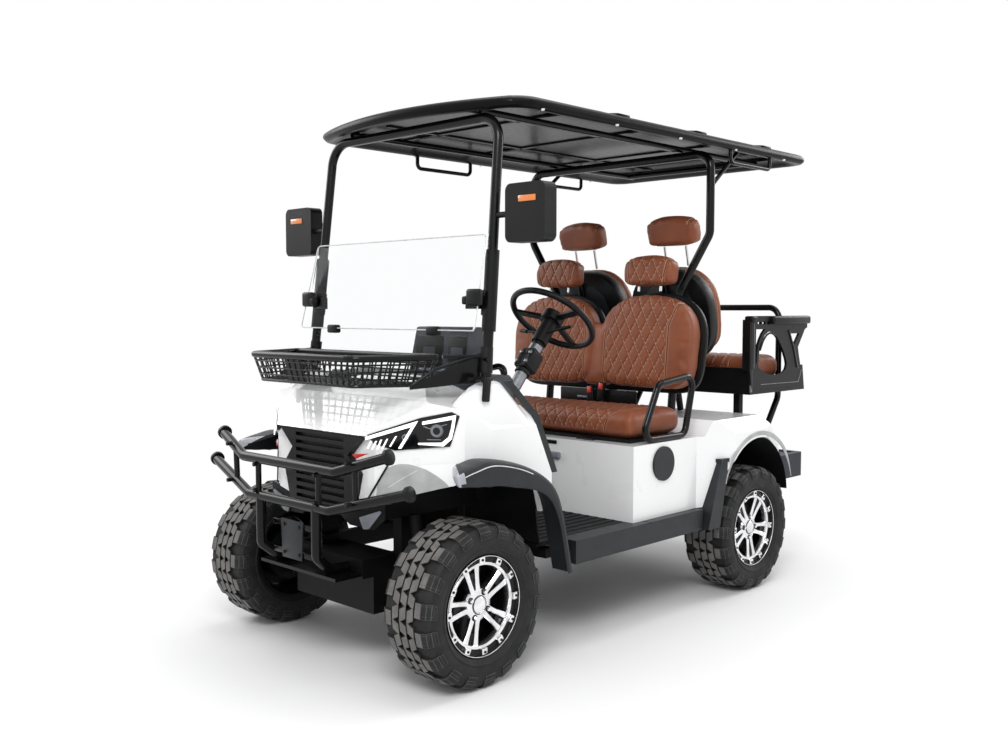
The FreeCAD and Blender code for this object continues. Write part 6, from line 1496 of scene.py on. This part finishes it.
def makeShells():
    shape = bmesh.new()
    front, rear, curve = frontBackLook, rearBackLook, rearBackLook["round"]
    for hand in (1, -1):
        place = placeAt(hand * front["lobe"], front["station"], shellLook["low"][0], front["lean"])
        addSlab(shape, place, backOutline(*shellLook["front"]), 0.091, 0.022, 0.006)
        place = placeAt(hand * rear["apart"], rear["station"], shellLook["low"][1], rear["lean"])
        addSlab(shape, place, backOutline(*shellLook["rear"], *curve), -0.152, 0.066, 0.018)
        panel = [(x, z + shellLook["panelUp"]) for x, z in backOutline(*shellLook["panel"], *curve)]
        addSlab(shape, place, panel, -0.157, 0.010, 0.004, 1)
    place = placeAt(0, front["station"], shellLook["low"][0], front["lean"])
    addSlab(shape, place, shellLook["bridge"], 0.0925, 0.018, 0.003)
    closeShape("shell_look", shape, ("black", "slate"), "chassis", 34, ("back_shells",))


makeShells()


# white shoulders beside the posts, up to the dark trim, by station, top and width; and the posts' feet
shoulderLook = {
    "stations": [(0.004, 0.984, 0.551), (0.040, 1.016, 0.564), (0.080, 1.040, 0.574), (0.120, 1.055, 0.5835),
                 (0.155, 1.0625, 0.5856), (0.184, 1.0605, 0.5856), (0.187, 1.0595, 0.5856), (0.334, 0.924, 0.5856)],
    "front": (0.430, 0.950), "behind": (0.5005, 0.900), "change": 0.186, "low": 0.880,
    "foot": ((0.014, 0.034, 0.088), (0.586, 0.088, 1.036)), "plate": ((0.060, 0.034, 0.016), (0.560, 0.102, 1.072)),
}


def makeShoulders():
    for hand, side in bothSides:
        rings = []
        for station, top, wide in shoulderLook["stations"]:
            near = shoulderLook["front" if station < shoulderLook["change"] else "behind"]
            low = min(shoulderLook["low"], top - 0.100)
            ring = [near, (0.502, top - 0.002), (wide - 0.050, top), (wide - 0.029, top - 0.006),
                    (wide - 0.0135, top - 0.018), (wide - 0.003, top - 0.042), (wide, top - 0.072),
                    (wide - 0.006, low), (near[0] + 0.01, low)]
            rings.append([spot(hand * x, station, z) for x, z in ring])
        shape = bmesh.new()
        addLoft(shape, rings)
        closeShape(f"shoulder_{side}", shape, "paint", "chassis", 40)
    shape = bmesh.new()
    for hand in (1, -1):
        size, (x, station, high) = shoulderLook["foot"]
        addBlock(shape, size, placeAt(hand * x, station, high, -6), 0.006, 3)
        size, (x, station, high) = shoulderLook["plate"]
        addBlock(shape, size, placeAt(hand * x, station, high), 0.005, 2)
    closeShape("post_feet", shape, "black", "chassis", 35)


makeShoulders()


# grey band of painted shade round each rear wheel arch, black sheet of painted shadow beside the nose fins
lipLook = {
    "station": 1.800, "high": 0.420, "from": 22, "sweep": 142, "steps": 40, "inner": 0.312, "outer": 0.334,
    "narrow": 0.020,
    "faces": (0.6845, 0.6878),
    "panel": [(0.096, 0.558), (0.150, 0.530), (0.290, 0.530), (0.352, 0.575), (0.352, 0.634), (0.300, 0.622),
              (0.200, 0.598), (0.096, 0.575)],
    "shadowSheetStation": -0.1865,
}


def makeArchLips():
    near, far = lipLook["faces"]
    for hand, side in bothSides:
        rings = []
        for index in range(lipLook["steps"] + 1):
            angle = math.radians(lipLook["from"] + lipLook["sweep"] * index / lipLook["steps"])
            outer = lipLook["outer"] - lipLook["narrow"] * ramp(abs(index - 20) / 20, 0.6, 1.0)
            ring = [(lipLook["inner"], near), (lipLook["inner"] + 0.0015, far), (outer - 0.003, far), (outer, near)]
            back, up = math.cos(angle), math.sin(angle)
            rings.append([spot(hand * x, lipLook["station"] - r * back, lipLook["high"] + r * up) for r, x in ring])
        # painted shade: grey band on the white edge of the arch
        shape = bmesh.new()
        addLoft(shape, rings)
        closeShape(f"arch_lip_painted_shade_{side}", shape, "cheek", "chassis", 35)
        # painted shadow: a black sheet beside the nose fin
        shape = bmesh.new()
        addPlate(shape, [spot(hand * x, lipLook["shadowSheetStation"], z) for x, z in lipLook["panel"]],
                 Vector((0, 0.004, 0)), 0, 0.001)
        closeShape(f"nose_shadow_sheet_{side}", shape, "frame", "chassis", 30)


makeArchLips()


# bright sleeves and a two-part clamp round the steering column, by depth below the wheel
columnLook = {
    "head": (0.290, 0.775, 1.280), "lean": 40, "clamp": 0.228, "clampHalf": (0.026, 0.072, 0.078), "apart": 0.024,
    "rings": ((0.150, 0.192, 0.0285, 1), (0.196, 0.208, 0.0350, 0), (0.276, 0.290, 0.0330, 0),
              (0.290, 0.372, 0.0258, 1)),
    "bolt": 0.014, "boltUp": 0.022, "boltOut": -0.036,
}


def makeColumn():
    shape = bmesh.new()
    lean = math.radians(columnLook["lean"])
    axis = Vector((0, math.sin(lean), math.cos(lean)))
    head = spot(*columnLook["head"])
    for top, foot, radius, slot in columnLook["rings"]:
        addRod(shape, head - axis * top, head - axis * foot, radius, 32, slot=slot)
    place = Matrix.Translation(head - axis * columnLook["clamp"]) @ Matrix.Rotation(-lean, 4, "X")
    for x in (columnLook["apart"], -columnLook["apart"]):
        addBlock(shape, columnLook["clampHalf"], place @ Matrix.Translation((x, 0, 0)), 0.006, 3, 0)
        for up in (columnLook["boltUp"], -columnLook["boltUp"]):
            addBlock(shape, (columnLook["bolt"],) * 3, place @ Matrix.Translation((x, columnLook["boltOut"], up)),
                     0.003, 2, 1)
    closeShape("column_look", shape, ("black", "sleeve"), "chassis", 35)


makeColumn()
print("details made")
